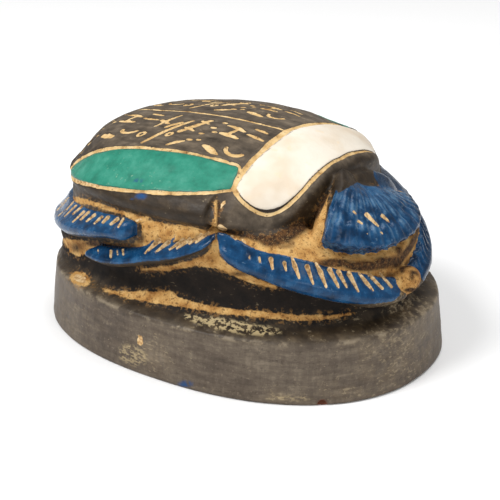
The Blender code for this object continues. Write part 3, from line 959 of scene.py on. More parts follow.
def carve(mesh):
    """Cuts the lines and strokes and adds the hand's unevenness."""
    points, out = of_points(mesh, "co") / MM, of_points(mesh, "normal")
    found = fields(points)
    _, _, share = chart(points)
    depth = LINE_DEPTH * step(found["line"], -0.26, 0.30)
    depth += CREVICE_DEPTH * step(found["shaded_crevice"], -0.25, 0.25)
    depth += unevenness(points, HAND_UNEVEN)
    depth += unevenness(points, FINE_UNEVEN) * step(points[:, 2], 1.0, 3.0)
    depth += unevenness(points, LEDGE_UNEVEN) * step(share, -0.05, 0.0) * step(share, 0.20, 0.10)
    depth += SEEN_DEPTH * step(notches_seen(points, out), -0.2, 0.5)
    depth += pits(points)
    for centre, radius, deep in CHIPS:
        away = np.linalg.norm(points - centre, axis=1)
        depth += deep * step(1 - away / radius, 0, 0.6)
    off_floor = step(points[:, 2], 0.05, 0.6)
    points -= out * (np.maximum(depth, -0.1) * off_floor)[:, None]
    mesh.vertices.foreach_set("co", (points * MM).astype(np.float32).ravel())
    mesh.update()


def build():
    """The finished mesh, and a search tree of each form for telling whose a point is."""
    groups = {
        "body": [body()],
        "wing": [wing_cases()],
        "shield": [thorax()],
        "head": [head()],
        "fan": [fan()],
        "legs": [leg(kind, side) for kind in LEGS for side in (-1, 1)],
        "boss": [boss()],
    }
    whole = mesh_of("forms", [form for forms in groups.values() for form in forms])
    fine = one_skin(whole)
    carve(fine)
    final = thinned(fine)
    trees = {}
    for name, forms in groups.items():
        some = mesh_of(name, forms)
        trees[name] = BVHTree.FromPolygons(
            [v.co for v in some.vertices], [list(p.vertices) for p in some.polygons]
        )
        bpy.data.meshes.remove(some)
    for spent in (whole, fine):
        bpy.data.meshes.remove(spent)
    return final, trees


def form_distances(mesh, trees):
    """For each form, how far a point of the skin is from it, in millimetres."""
    spots = [v.co.copy() for v in mesh.vertices]
    found = {}
    for name, tree in trees.items():
        near = [tree.find_nearest(spot, 0.02)[3] for spot in spots]
        found[name] = np.array([9.0 if d is None else d / MM for d in near])
    return found

# Bare and worn places: outlines in the view, on the side that it shows
BARE_ON_BODY = {
    "above hind leg": [
        (70, 196), (80, 197.5), (92, 201), (108, 206), (122, 211), (140, 216), (150, 217), (147, 221),
        (138, 223), (128, 217), (112, 212), (98, 207), (84, 204), (73, 202),
    ],
    "flank": [
        (141, 220), (158, 221.5), (170, 225), (190, 224.5), (205, 222), (214, 219), (217, 226),
        (215, 236), (206, 237), (190, 239), (168, 243), (148, 244), (136, 249), (128, 250), (134, 243),
        (142, 235),
    ],
    "below hind leg": [
        (62, 238), (82, 240.5), (100, 242), (130, 243), (128, 247), (104, 246.5), (95, 251), (80, 256),
        (70, 252),
    ],
    "below middle leg": [
        (138, 269), (170, 265.5), (188, 261), (204, 255), (214, 245), (221, 258), (236, 269),
        (262, 280.5), (281, 287), (277, 289.5), (255, 284), (238, 278),
        (215, 268), (196, 266), (170, 271), (145, 273),
    ],
}
BARE_ON_SEAM = [
    (214, 203), (218, 199), (221, 206), (218.5, 215), (219.5, 224), (222, 232), (219.5, 240), (219, 256),
    (212, 258), (211, 246), (213, 238), (212, 226), (215, 214),
]
FLAKED = {
    "rim": [
        (184, 314), (205, 315.5), (225, 318.5), (250, 323.5), (275, 328), (282, 333), (262, 336),
        (240, 334), (222, 330.5), (200, 325), (185, 319),
    ],
    "wall": [(118, 348), (128, 343), (140, 347), (148, 356), (144, 364), (132, 366), (120, 359)],
    "foot": [(268, 395), (308, 397), (307, 400.5), (268, 399)],
}
BARE_ON_LEDGE = {
    "spot": [
        (69.8, 279), (70.6, 275), (75, 271.6), (82.9, 271.8), (88.2, 275.6), (90.8, 281.2), (86.6, 286),
        (79, 285.4), (72.2, 282.8),
    ],
    "cove foot": [
        (99, 288), (120, 291.5), (150, 291), (170, 290.5), (178, 297), (196, 303), (225, 308),
        (262, 311.5), (300, 315), (330, 315), (352, 311), (352, 315), (325, 320), (300, 321), (264, 318),
        (224, 314), (186, 308), (155, 303), (129, 299), (109, 293),
    ],
}
# Soft spots in the view: middle, half width, half height and strength
# Dirt together with painted shade: these spots darken the recess under the shield's rim, the place under
# the fan and the strip under the hind leg, partly for dirt and partly as painted shade
DIRT_AND_SHADE_SPOTS = [
    (272, 240, 15, 8, 1.0), (258, 239, 10, 4, 0.8), (290, 229, 14, 11, 1.0), (303, 215, 11, 18, 1.0),
    (317, 201, 10, 17, 1.0), (326, 186, 6, 11, 1.0), (285, 246, 20, 5, 0.5), (240, 238, 6, 4, 0.5),
    (365, 176, 6, 6, 0.7), (384, 263, 13, 7, 1.0), (402, 269, 4, 6, 0.8), (411, 290, 9, 3, 0.9),
    (335, 263, 22, 5, 1.0), (365, 266, 26, 6, 1.0), (395, 262, 12, 8, 0.9), (403, 248, 9, 12, 1.0),
    (350, 253, 26, 4, 0.45), (390, 275, 10, 5, 0.6), (412, 275, 4, 10, 0.7),
    (120, 246, 22, 5, 0.9), (97, 243, 14, 4, 1.0), (77, 247, 12, 8, 0.6),
    (140, 238, 7, 9, 0.7), (206, 228, 8, 6, 0.5), (196, 236, 14, 4, 0.5),
    (108, 207, 12, 3, 0.5), (150, 272, 16, 3, 0.8), (240, 274, 20, 4, 0.6), (168, 269, 10, 3, 0.4),
]
# Where that dirt and painted shade are lessened
LESS_DIRT_AND_SHADE_SPOTS = [(205, 245, 10, 8, 0.5)]
DUSTY = [
    (230, 324, 50, 8, 1.0), (130, 294, 40, 5, 0.6), (320, 318, 50, 5, 0.8), (150, 354, 26, 22, 0.75),
    (395, 350, 40, 50, 1.0), (350, 392, 40, 12, 0.8), (285, 398, 30, 7, 0.8), (412, 305, 36, 20, 1.3),
    (90, 280, 22, 8, 0.5), (330, 340, 60, 8, 0.5),
]
SMEARS = [
    (141, 196, 7, 4.5, 1.0), (139, 180.5, 8, 2.4, 1.0), (186, 384, 10, 4, 1.0), (132, 199, 3, 2, 0.8),
]
# Shading beside the shield in the view, where no sheen is painted on its rim: two ends and the radius at
# each, in pixels
RIM_SHADE = [(272, 231, 300, 215, 3, 5), (300, 215, 326, 186, 5, 6), (326, 186, 336, 172, 6, 3)]
# The lit ridge beside the fan, where no shade is painted: two ends and the radius at each, in pixels
RIDGE = [
    (331.5, 176, 333, 190, 1.2, 1.6), (333, 190, 329, 205, 1.6, 2.2), (329, 205, 322, 225, 2.2, 4.0),
    (322, 225, 316, 246, 4.0, 8.0), (316, 246, 300, 250, 8.0, 5.0),
]
HEAD_NUB = [
    (336, 168), (345, 160), (362, 158), (378, 162), (385, 171), (382, 182), (374, 187), (364, 185.5),
    (357, 182.5), (349, 187), (338.5, 193), (335.5, 188),
]
# Marks in the view: two ends and the radius at each, in pixels
FAN_WORN = [
    (366.5, 214.5, 378, 226, 2.0, 0.8), (382, 215.5, 389.5, 222, 1.6, 0.7),
    (353.5, 211.5, 356, 214, 0.9, 0.6),
    (358, 221, 362, 223.5, 1.1, 0.7), (365, 232, 367.5, 234, 0.5, 0.4), (381, 232, 382.5, 234, 0.6, 0.4),
]
SPURS = [
    (147, 249, 153.3, 240.8, 2.4, 1.2), (157, 248, 162, 243.2, 1.8, 0.8),
    (168, 247.5, 176.5, 233.8, 1.8, 0.7), (180, 246, 186.5, 241.2, 1.3, 0.7),
    (190, 243, 201.5, 234.5, 1.2, 0.8),
]
CREAM = [
    (77, 277.5, 83, 280, 3.0, 3.2),
    (221.5, 207.5, 222.7, 203, 1.1, 1.2),
    (222.7, 203, 228, 200.7, 1.2, 0.8), (220, 227, 225.5, 229.7, 2.3, 1.5),
    (139.6, 336.5, 140.3, 343, 2.2, 2.7),
    (78, 181.8, 98, 186.3, 1.6, 1.2), (136, 220.5, 143, 218.5, 1.2, 0.8),
    (232, 236, 236, 239, 1.3, 1.0), (243, 240, 245.5, 243, 1.0, 0.7),
]
FAR_LEG_SEEN = [
    (372, 158), (386, 164), (400, 176), (414, 196), (424, 214), (434, 240), (440, 270), (434, 284),
    (425, 283), (420, 276), (424, 262), (422, 244), (419, 226), (413, 206), (404, 192), (390, 189),
    (379, 186), (374, 176),
]


def soft_spots(view, rows):
    """Strongest of some soft spots at positions in the view."""
    total = np.zeros(len(view))
    for x, y, wide, high, strength in rows:
        away = ((view[:, 0] - x) / wide) ** 2 + ((view[:, 1] - y) / high) ** 2
        total = np.maximum(total, strength * np.exp(-away))
    return total


# What the view shows: how far over the middle, and how far the surface may look away
NEAR_SIDE = 8
GRAZING = -0.05
UNSEEN = -9.0


class Skin:
    """The finished surface's points and what the painting asks about them."""

    def __init__(self, mesh, trees):
        self.points, self.out = of_points(mesh, "co") / MM, of_points(mesh, "normal")
        self.x, self.y, self.z = self.points.T
        self.degrees, _, self.share = chart(self.points)
        self.view = drawn(self.points)
        self.seen = drawn(self.points, mirrored=False)
        self.away = form_distances(mesh, trees)
        facing = (self.y < NEAR_SIDE) & (self.out @ VIEW_BACK > GRAZING)
        self.shown = np.where(facing, 0.0, UNSEEN)
        self.nub = np.maximum(inside(self.view, HEAD_NUB), inside(self.seen, HEAD_NUB)) * PIXEL

    def owns(self, name):
        """How much nearer a point is to one form than to any other."""
        return np.min([self.away[k] for k in self.away if k != name], axis=0) - self.away[name]

    def area(self, outline):
        """An outline's area on the side that the view shows."""
        return inside(self.seen, outline) * PIXEL + self.shown

    def marks(self, rows):
        """Marks on the side that the view shows."""
        return mark_distance(self.seen, rows) * PIXEL + self.shown


# Paint of each kind of leg: lower edge, notches' half width, and how far they pass the paint
LEG_PAINT = {"hind": (0.08, 0.62, 1.0), "middle": (0.24, 0.66, 1.0), "front": (0.04, 0.86, 0.25)}
PAINT_TOP = 1.15
NOTCH_TOP = 1.18
NOTCH_TAPER = 0.28
NOTCH_LOWER = 0.04


def notch_fade(kind, degrees):
    """How much narrower a leg's notches are from place to place."""
    if kind == "hind":
        return 0.25 * step(degrees, 150, 165) + 0.8 * step(degrees, 103, 100)
    if kind == "middle":
        return 0.5 * step(degrees, 96, 102)
    return np.where(degrees > 59, 0.45, 0.0) + 0.5 * step(degrees, 54, 62)


def leg_paint(skin, kind):
    """Areas of the paint and of the notches on one kind of leg."""
    rows, _, _, slant, _ = LEGS[kind]
    floor, notch_half, beyond = LEG_PAINT[kind]
    degrees = skin.degrees
    low, high, _ = keyed(degrees, rows)
    height = (high - low) * BEETLE_HEIGHT
    upward = (skin.share - low) / np.maximum(high - low, 0.02)
    first, last = rows[0][0], rows[-1][0]
    span = np.minimum(degrees - first, last - degrees) * leg_arc(rows) / (last - first)
    if kind == "front":
        floor = floor + 0.20 * step(degrees, 34, 16) + 0.38 * step(degrees, 12, 3)
    paint = least((upward - floor) * height, (PAINT_TOP - upward) * height, span + 0.6, skin.owns("legs"))
    along = (degrees - slant * (upward - 0.5) * notch_hold(kind, upward) - first) / (last - first)
    off, half = np.zeros(len(degrees)), np.zeros(len(degrees))
    for side, here in ((-1, skin.y < 0), (1, skin.y >= 0)):
        off[here], half[here], _ = notch_form(kind, side, np.clip(along[here], 0, 1))
    risen = upward - NOTCH_FOOT[kind] + NOTCH_LOWER
    taper = np.sqrt(np.clip(risen / NOTCH_TAPER, 0, 1))
    lens = (half * taper * notch_half - off) * NOTCH_PITCH
    cut = least(lens, np.minimum(risen, NOTCH_TOP - upward) * height, paint + beyond, span)
    cut = np.where((skin.y > 0) | (degrees > HIDDEN_TURN), cut, NOWHERE)
    return paint, cut - notch_fade(kind, degrees)


# The fan's paint: how far down its surface looks where it ends, and its half turn on each side
FAN_BELOW = 0.94
FAN_PAINTED = (88, 84)


def fan_paint(skin, on_fan):
    """Area of the fan's paint, and how much each point is on a rib's crest, where a highlight is painted.
    """
    across = skin.y / (FAN_RIM[2] * WIDTH / 2)
    along = (skin.x - FAN_APEX[0] * LENGTH / 2) / (FAN_RIM[1] * LENGTH / 2)
    reach = np.hypot(across, along)
    turn = np.degrees(np.arctan2(across, along))
    sides = (np.where(skin.y < 0, *FAN_PAINTED) - np.abs(turn)) * 0.2 + 2.5 * (0.2 - reach)
    paint = least(on_fan + 0.1, (skin.out[:, 2] + FAN_BELOW) * 3, sides)
    rib = (turn / np.degrees(FAN_TURN) + 1) * RIB_COUNT
    # Painted highlight along the crests of the ribs
    highlights_on_crests = step(np.abs(rib % 1 - 0.5), 0.30, 0.12)
    highlights_on_crests = highlights_on_crests * step(reach, 0.25, 0.55) * step(reach, 1.05, 0.8)
    return paint, np.where(on_fan > 0, highlights_on_crests, 0.0)


def far_leg(skin):
    """Area of the far front leg where the view shows it."""
    beyond = (skin.y > 2) & (skin.z > PLINTH_HEIGHT + 4) & (skin.away["shield"] > 0.6)
    return np.where(beyond, inside(skin.seen, FAR_LEG_SEEN) * PIXEL, NOWHERE)


def blue_and_notches(skin, fan_blue):
    """Areas of the blue paint, of the pale notches and of the far leg's notches, which are painted dark as
    shade.
    """
    blue = notch = np.full(len(skin.points), NOWHERE)
    for kind in LEGS:
        paint, cut = leg_paint(skin, kind)
        blue, notch = np.maximum(blue, paint), np.maximum(notch, cut)
    # The far front leg's notches are painted dark, as shade, not pale
    on_far_notch_shade = (skin.y > 0) & (skin.degrees < 62) & (notch > -1)
    far_notch_shade = np.where(on_far_notch_shade, notch, NOWHERE)
    notch = np.where(on_far_notch_shade, NOWHERE, notch)
    notch = most(notch, skin.marks(FAN_WORN + CREAM), notches_seen(skin.points, skin.out))
    blue = np.minimum(most(blue, skin.marks(SPURS), fan_blue), -skin.nub)
    return np.maximum(blue, far_leg(skin)), notch, far_notch_shade


# From where along the beetle the wall beside the head is bare
HEAD_PLACE = 17.5


def bare_stone(skin, shield, on_fan):
    """Area of the bare stone round the head, on the boss and seam and in worn spots."""
    degrees, share = skin.degrees, skin.share
    on_body, on_boss = skin.owns("body"), skin.owns("boss")
    leg_low, leg_top, _ = keyed(degrees, FRONT_LEG)
    above = np.maximum((share - leg_top + 0.05) * BEETLE_HEIGHT, np.where(degrees < 9, 1.0, NOWHERE))
    below = (share - leg_low - 0.02) * BEETLE_HEIGHT
    wall = least(np.maximum(on_body, on_boss) + 0.4, skin.x - HEAD_PLACE, above, below)
    cheeks = np.minimum(skin.owns("head") + 0.3, np.abs(skin.y) - 6.5)
    parts = [
        least(np.maximum(wall, cheeks), -shield, -skin.nub),
        np.minimum(on_boss, (share - 0.17) * BEETLE_HEIGHT),
        np.minimum(on_fan + 0.3, -3 * (skin.out[:, 2] + FAN_BELOW)),
        np.minimum(skin.area(BARE_ON_SEAM), 0.4 - skin.owns("legs")),
    ]
    for outline in BARE_ON_BODY.values():
        parts.append(np.minimum(skin.area(outline), on_body + 0.5))
    for outline in BARE_ON_LEDGE.values():
        parts.append(np.minimum(skin.area(outline), (0.13 - share) * BEETLE_HEIGHT))
    return most(*parts)


def stains(skin, shield):
    """Shares of dirt together with painted shade, dust, smears, flaked paint, faded paint with painted
    sheen, the painted shade of the cove, a rim line that is partly a painted highlight, and the like.
    """
    share, view, seen = skin.share, skin.view, skin.seen
    in_view = skin.shown == 0
    across = view[:, 0]
    # Painted shade in the recess right under the shield's lower edge, beside the head
    shade_below_shield = step(shield, -6.5, -1.0) * step(across, 268, 290) * step(across, 342, 334)
    dirt_and_shade = most(soft_spots(view, DIRT_AND_SHADE_SPOTS), 0.9 * step(shield, -2.6, 0.0), shade_below_shield)
    # Along the lit ridge beside the fan the painted shade is taken out again
    dirt_and_shade = dirt_and_shade - step(mark_distance(view, RIDGE), -3.5, 0.5)
    dirt_and_shade = np.clip(dirt_and_shade - soft_spots(view, LESS_DIRT_AND_SHADE_SPOTS), 0, 1)
    # The cove under the legs, painted nearly black as its shade
    shaded_cove = step(share, 0.015, 0.06) * (1 - step(share, 0.30, 0.42))
    # Lighter black paint: on the top of the back partly faded and partly a painted sheen, on the shield's
    # rim a painted sheen, left out where the rim is in shade
    on_top = step(share, 0.74, 0.90) * np.where(skin.x < 18, 1.0, 0.0)
    on_rim = np.where(skin.owns("shield") > -0.2, 0.9, 0.0) * step(shield, 0.5, 2.5)
    on_rim = on_rim * (1 - step(mark_distance(view, RIM_SHADE), -4, 4))
    at_rim = np.hypot(skin.x * 2 / LENGTH, skin.y * 2 / WIDTH) > 0.9
    return {
        # The far front leg is darkened too, as painted shade
        "dirt_and_shade": np.maximum(dirt_and_shade, 0.8 * step(far_leg(skin), 0.0, 1.0)),
        "shaded_cove": shaded_cove * (skin.away["body"] < 0.5),
        "wall": 1 - step(share, -0.04, 0.03),
        "dust": np.where(in_view, soft_spots(seen, DUSTY), 0.3),
        "smear": soft_spots(seen, SMEARS) * in_view,
        "flaked": step(most(*(skin.area(outline) for outline in FLAKED.values())), -0.4, 0.5),
        "faded_and_sheen": np.maximum(0.85 * on_top, on_rim),
        # A pale line along the plinth's rounded rim: partly worn paint, partly a painted highlight
        "rim": np.exp(-(((skin.z - PLINTH_HEIGHT + 0.5) / 0.5) ** 2)) * at_rim,
        "chip": step(1.35 - np.linalg.norm(skin.points - CHIPS[0][0], axis=1), -0.3, 0.3),
    }


def painted(mesh, trees):
    """Writes the areas and shares that the material reads."""
    skin = Skin(mesh, trees)
    values = fields(skin.points)
    on_fan = skin.owns("fan")
    shield = inside(skin.view, rounded(SHIELD_BOTTOM)) * PIXEL
    fan_blue, values["crest_highlight"] = fan_paint(skin, on_fan)
    values["blue"], values["notch"], far_notch_shade = blue_and_notches(skin, fan_blue)
    values["shaded_crevice"] = np.maximum(values["shaded_crevice"], far_notch_shade)
    values["bare"] = bare_stone(skin, shield, on_fan)
    values.update(stains(skin, shield))
    for name, value in values.items():
        made = mesh.attributes.new(name, "FLOAT", "POINT")
        made.data.foreach_set("value", np.asarray(value, np.float32))


# Material: ramps as places and colours, then the single colours laid over them
RAMPS = {
    "sand": [(0.30, (132, 86, 38)), (0.46, (178, 132, 72)), (0.66, (208, 168, 106))],
    # Dark browns for dirt and painted shade on the bare stone
    "earth_and_shade": [(0.36, (36, 22, 10)), (0.50, (64, 41, 19)), (0.66, (98, 65, 32))],
    "cut": [(0.30, (158, 120, 72)), (0.46, (200, 166, 112)), (0.66, (220, 192, 144))],
    "black": [(0.34, (30, 22, 13)), (0.52, (48, 37, 24)), (0.70, (76, 62, 44))],
    # Lighter black for faded paint and painted sheen
    "faded_and_sheen": [(0.32, (48, 40, 30)), (0.50, (84, 73, 60)), (0.70, (122, 108, 90))],
    "wall": [(0.36, (58, 49, 40)), (0.47, (84, 73, 62)), (0.54, (98, 87, 74)), (0.64, (126, 114, 98))],
    # Nearly black for the painted shade of the cove
    "shaded_cove": [(0.35, (14, 9, 6)), (0.65, (30, 22, 16))],
    "teal": [(0.30, (28, 108, 88)), (0.50, (38, 126, 104)), (0.72, (60, 140, 119))],
    "white": [(0.34, (214, 198, 176)), (0.50, (222, 212, 196)), (0.66, (226, 218, 205))],
    "blue": [(0.30, (8, 36, 62)), (0.50, (14, 59, 96)), (0.72, (34, 86, 126))],
    "notch": [(0.32, (140, 100, 60)), (0.46, (192, 156, 106)), (0.62, (216, 188, 144))],
}
# Single colours; among them a painted highlight for the fan's rib crests, a pale rim line that is partly a
# painted highlight, and painted shade in crevices and on darkened blue
COLOURS = {
    "grain": (84, 52, 22), "crumbs": (52, 34, 18), "glint": (212, 176, 118), "cut grain": (84, 56, 30),
    "wall scuff": (136, 122, 104), "wall pit": (46, 39, 32), "haze": (140, 120, 90),
    "speck": (158, 142, 114), "flaked": (186, 166, 124), "rim": (150, 136, 114),
    "pooled": (16, 104, 84), "teal scuff": (150, 176, 150), "yellowed": (226, 200, 160),
    "highlight_on_crest": (92, 122, 146), "blue scuff": (110, 140, 160), "blue in dirt and shade": (8, 18, 32),
    "near bare": (132, 96, 52), "line shade": (28, 20, 14),
    "shaded_crevice": (34, 24, 16), "smear": (14, 66, 116), "chip": (92, 46, 24),
}


def srgb(*colour):
    """A material's colour from red, green and blue up to 255."""
    parts = []
    for value in colour:
        value /= 255
        parts.append(value / 12.92 if value <= 0.04045 else ((value + 0.055) / 1.055) ** 2.4)
    return (*parts, 1.0)


class Painter:
    """Short names for the nodes of one material, and the noises that it shares."""

    def __init__(self, name):
        self.material = bpy.data.materials.new(name)
        self.material.use_nodes = True
        self.tree = self.material.node_tree
        self.shader = self.tree.nodes["Principled BSDF"].inputs
        self.place = self.node("TexCoord", "Object")
        self.broad = self.noise(70, 3)
        self.middle = self.noise(260, 4, 0.6)
        self.fine = self.noise(1000, 3, 0.6)
        self.grain = self.noise(2800, 2, 0.6)
        self.wobble = self.weighed((self.middle, 0.6), (self.fine, 0.7), (-0.65, 1.0))

    def put(self, socket, value):
        if isinstance(value, bpy.types.NodeSocket):
            self.tree.links.new(value, socket)
        else:
            socket.default_value = srgb(*value) if socket.type == "RGBA" else value

    def node(self, kind, output, inputs=(), **settings):
        """A new node's output, with its inputs given by name or number."""
        made = self.tree.nodes.new("ShaderNode" + kind)
        for name, value in settings.items():
            setattr(made, name, value)
        for name, value in dict(inputs).items():
            self.put(made.inputs[name], value)
        return made.outputs[output]

    def attribute(self, name):
        return self.node("Attribute", "Fac", attribute_name=name)

    def math(self, kind, *values):
        return self.node("Math", 0, enumerate(values), operation=kind)

    def times(self, a, b):
        return self.math("MULTIPLY", a, b)

    def weighed(self, *pairs):
        """Sum of values, each times its weight."""
        total = 0.0
        for value, weight in pairs:
            total = self.math("MULTIPLY_ADD", value, weight, total)
        return total

    def noise(self, scale, detail=3.0, rough=0.55, stretch=None):
        place = self.place
        if stretch:
            place = self.node("Mapping", 0, {"Vector": place, "Scale": stretch})
        inputs = {"Vector": place, "Scale": scale, "Detail": detail, "Roughness": rough}
        return self.node("TexNoise", "Fac", inputs)

    def between(self, value, low, high, out_low=0.0, out_high=1.0):
        """Smoothly from one output at low to the other at high."""
        inputs = {
            "Value": value, "From Min": low, "From Max": high, "To Min": out_low, "To Max": out_high
        }
        return self.node("MapRange", "Result", inputs, interpolation_type="SMOOTHSTEP")

    def mix(self, share, a, b):
        return self.node("Mix", 2, {0: share, 6: a, 7: b}, data_type="RGBA")

    def number(self, share, a, b):
        return self.node("Mix", 0, {0: share, 2: a, 3: b}, data_type="FLOAT")

    def over(self, base, name, share, strength=None):
        """One of the colours laid over another."""
        share = share if strength is None else self.times(share, strength)
        return self.mix(share, base, COLOURS[name])

    def ramp(self, value, name):
        output = self.node("ValToRGB", "Color", {0: value})
        marks = output.node.color_ramp.elements
        while len(marks) < len(RAMPS[name]):
            marks.new(0.5)
        for mark, (spot, colour) in zip(marks, RAMPS[name]):
            mark.position = spot
            mark.color = srgb(*colour)
        return output

    def edge(self, name, soft=0.07, ragged=0.6, shift=0.0):
        """How much a point is in an area, with a ragged edge."""
        value = self.weighed((self.attribute(name), 1.0), (self.wobble, ragged), (shift, 1.0))
        return self.between(value, -soft, soft)


def stone(p, dirt_and_shade):
    """Bare stone, sand coloured, brown to black where dirt stays and where shade is painted, and the stone
    of fresh cuts.
    """
    sand = p.over(p.ramp(p.middle, "sand"), "grain", p.between(p.fine, 0.55, 0.64), 0.65)
    # Darker brown where there is dirt and where shade is painted in recesses
    darkening = p.weighed((dirt_and_shade, 0.8), (p.middle, 0.35))
    sand = p.mix(p.between(darkening, 0.36, 0.74), sand, p.ramp(p.fine, "earth_and_shade"))
    crumbs = p.times(p.between(p.grain, 0.60, 0.68), p.between(p.broad, 0.38, 0.58))
    sand = p.over(sand, "crumbs", crumbs, 0.8)
    sand = p.over(sand, "glint", p.between(p.grain, 0.40, 0.32), 0.3)
    return sand, p.over(p.ramp(p.middle, "cut"), "cut grain", p.between(p.fine, 0.58, 0.68), 0.7)


def black_paint(p, brushed):
    """Black paint: grey brown and brushed on the plinth, partly worn and partly a painted sheen, nearly
    black in the cove as painted shade, and lighter with a painted sheen on the shield's rim and the top of
    the back.
    """
    strokes = p.noise(420, 3, 0.6, (0.35, 1.0, 1.0))
    mixed = p.number(0.5, p.middle, strokes)
    # Lighter black paint where it is faded and where a sheen is painted
    black = p.mix(p.attribute("faded_and_sheen"), p.ramp(mixed, "black"), p.ramp(mixed, "faded_and_sheen"))
    upright = p.noise(170, 4, 0.7, (4.0, 4.0, 1.0))
    patchy = p.noise(38, 5, 0.65)
    # The plinth's grey brown: worn black paint, and partly a painted sheen on the upright wall
    worn_and_sheen = p.ramp(p.weighed((brushed, 0.45), (upright, 0.2), (patchy, 0.35)), "wall")
    worn_and_sheen = p.over(worn_and_sheen, "wall scuff", p.between(p.fine, 0.60, 0.70), 0.35)
    worn_and_sheen = p.over(worn_and_sheen, "wall pit", p.between(p.fine, 0.40, 0.30), 0.4)
    wall = p.attribute("wall")
    black = p.mix(wall, black, worn_and_sheen)
    # Nearly black in the cove under the legs, as painted shade
    black = p.mix(p.attribute("shaded_cove"), black, p.ramp(p.middle, "shaded_cove"))
    dust = p.attribute("dust")
    black = p.over(black, "haze", p.times(dust, p.between(p.middle, 0.35, 0.65)), 0.25)
    flecks = p.noise(700, 4, 0.65, (1.0, 1.0, 2.2))
    speck = p.between(p.weighed((flecks, 1.0), (dust, 0.11)), 0.63, 0.69)
    speck = p.times(speck, p.between(p.weighed((p.middle, 1.0), (dust, 0.1)), 0.46, 0.62))
    black = p.over(black, "speck", speck, 0.5)
    flaked = p.times(p.attribute("flaked"), p.between(flecks, 0.47, 0.53))
    black = p.over(black, "flaked", flaked, p.number(wall, 0.9, 0.45))
    # A pale line along the plinth's rim, partly worn paint and partly a painted highlight
    return p.over(black, "rim", p.times(p.attribute("rim"), p.between(p.middle, 0.46, 0.60)), 0.6)


def panels(p, dirt_and_shade):
    """Teal, white and blue paint; the blue has a painted highlight on the fan's rib crests and is darkened
    where dirt and painted shade are.
    """
    teal = p.ramp(p.middle, "teal")
    teal = p.over(teal, "pooled", p.between(p.attribute("teal"), 0.0, 2.2, 0.6, 0.0), p.broad)
    scuff = p.times(p.between(p.fine, 0.64, 0.70), p.between(p.broad, 0.50, 0.62))
    teal = p.over(teal, "teal scuff", scuff, 0.5)
    white = p.over(p.ramp(p.broad, "white"), "yellowed", p.between(p.middle, 0.58, 0.72), 0.4)
    # Painted highlight on the crests of the fan's ribs
    highlight_on_crest = p.times(p.attribute("crest_highlight"), p.between(p.middle, 0.40, 0.62))
    blue = p.over(p.ramp(p.middle, "blue"), "highlight_on_crest", highlight_on_crest, 0.7)
    blue = p.over(blue, "blue scuff", p.between(p.fine, 0.64, 0.70), 0.35)
    # The blue darkened by dirt and by painted shade, as on the far front leg
    return teal, white, p.over(blue, "blue in dirt and shade", dirt_and_shade, 0.7)


def paint():
    p = Painter("painted stone")
    dirt_and_shade = p.attribute("dirt_and_shade")
    brushed = p.noise(120, 5, 0.72, (1.0, 1.0, 4.5))
    sand, cut = stone(p, dirt_and_shade)
    teal, white, blue = panels(p, dirt_and_shade)
    teal_on = p.edge("teal", shift=0.05)
    white_on = p.edge("white", ragged=0.3, shift=0.05)
    line_on = p.edge("line")
    stone_on = p.edge("bare", soft=0.25, ragged=1.9)
    blue_on = p.edge("blue", soft=0.12, ragged=0.9)
    notch_on = p.edge("notch", ragged=0.35, shift=0.07)

    colour = p.mix(teal_on, black_paint(p, brushed), teal)
    colour = p.mix(white_on, colour, white)
    near_bare = p.times(p.edge("bare", soft=0.9, ragged=3.0, shift=0.8), p.between(p.fine, 0.52, 0.60))
    colour = p.over(colour, "near bare", near_bare, 0.7)
    colour = p.mix(stone_on, colour, sand)
    shade_on = p.times(p.edge("line", soft=0.15, shift=0.28), p.between(p.middle, 0.44, 0.56))
    colour = p.over(colour, "line shade", shade_on, 0.6)
    colour = p.mix(line_on, colour, cut)
    # Painted shade in the gap under the white panel and in the far leg's notches
    colour = p.over(colour, "shaded_crevice", p.edge("shaded_crevice", soft=0.12), 0.9)
    colour = p.mix(blue_on, colour, blue)
    smear = p.times(p.attribute("smear"), p.math("ADD", p.middle, 0.3))
    colour = p.over(colour, "smear", p.between(smear, 0.22, 0.75))
    colour = p.mix(notch_on, colour, p.ramp(p.fine, "notch"))
    p.put(p.shader["Base Color"], p.over(colour, "chip", p.attribute("chip")))

    bare_on = p.math("MAXIMUM", stone_on, line_on)
    rough = p.between(brushed, 0.3, 0.7, 0.42, 0.62)
    blue_rough = p.between(p.middle, 0.3, 0.7, 0.16, 0.32)
    for share, value in (
        (bare_on, 0.85), (p.attribute("shaded_cove"), 0.8), (teal_on, 0.42), (white_on, 0.48),
        (blue_on, blue_rough), (notch_on, 0.85),
    ):
        rough = p.number(share, rough, value)
    p.put(p.shader["Roughness"], rough)
    p.put(p.shader["Specular IOR Level"], 0.25)

    grain = p.number(bare_on, 0.06, 0.3)
    height = p.weighed((p.middle, 0.5), (p.fine, 0.5), (p.grain, grain), (blue_on, 0.35))
    bump = {"Strength": 0.7, "Distance": 0.00028, "Height": height}
    p.put(p.shader["Normal"], p.node("Bump", "Normal", bump))
    return p.material


def carving():
    mesh, trees = build()
    painted(mesh, trees)
    mesh.materials.clear()
    mesh.materials.append(paint())
    mesh.shade_smooth()
    piece = placed("scarab_carving", mesh)
    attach(piece, "root")
    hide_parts("scarab")
    print("scarab_carving", len(mesh.vertices), "points", len(mesh.polygons), "faces")


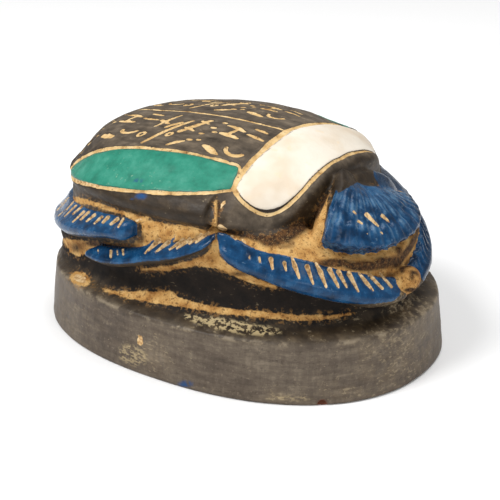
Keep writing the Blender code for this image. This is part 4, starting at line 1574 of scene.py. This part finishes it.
# Floor, light and camera
FLOOR_REACH = 6.0
FLOOR_COLOUR = (0.92, 0.92, 0.92, 1.0)
LIGHTS_AIM = Vector((0, 0, 0.03))
WORLD_STRENGTH = 0.38
# Lamps: place, size and power
LAMPS = {
    "key": ((-0.30, -0.50, 0.75), 0.45, 6.8),
    "fill": ((0.70, -0.40, 0.40), 0.5, 1.6),
    "top": ((0.10, 0.20, 0.90), 0.6, 4.0),
}
SENSOR = 36.0
FRAME = 500


def stage_floor():
    mesh = bpy.data.meshes.new("floor")
    far = FLOOR_REACH
    mesh.from_pydata([(-far, -far, 0), (far, -far, 0), (far, far, 0), (-far, far, 0)], [], [(0, 1, 2, 3)])
    material = bpy.data.materials.new("pale floor")
    material.use_nodes = True
    shader = material.node_tree.nodes["Principled BSDF"]
    shader.inputs["Base Color"].default_value = FLOOR_COLOUR
    shader.inputs["Roughness"].default_value = 0.9
    mesh.materials.append(material)
    floor = placed("floor", mesh)


def area_light(name, place, size, power):
    data = bpy.data.lights.new(name, "AREA")
    data.shape = "DISK"
    data.size = size
    data.energy = power
    lamp = placed(name, data)
    lamp.location = place
    lamp.rotation_euler = (LIGHTS_AIM - Vector(place)).to_track_quat("-Z", "Y").to_euler()


def lights():
    world = bpy.data.worlds.new("studio")
    bpy.context.scene.world = world
    world.use_nodes = True
    world.node_tree.nodes["Background"].inputs["Color"].default_value = (1.0, 1.0, 1.0, 1.0)
    world.node_tree.nodes["Background"].inputs["Strength"].default_value = WORLD_STRENGTH
    for name, lamp in LAMPS.items():
        area_light(name, *lamp)


def camera():
    data = bpy.data.cameras.new("camera")
    data.sensor_width = SENSOR
    data.lens = VIEW_FOCUS * SENSOR / FRAME
    data.clip_start = 0.01
    data.clip_end = 20
    eye = placed("camera", data)
    turn = Matrix((VIEW_RIGHT, VIEW_UP, VIEW_BACK)).transposed().to_4x4()
    place = Vector((VIEW_AIM + VIEW_BACK * VIEW_DISTANCE) * MM)
    eye.matrix_world = Matrix.Translation(place) @ turn
    bpy.context.scene.camera = eye


camera()
stage_floor()
lights()
carving()
bpy.context.scene.view_settings.view_transform = "Standard"
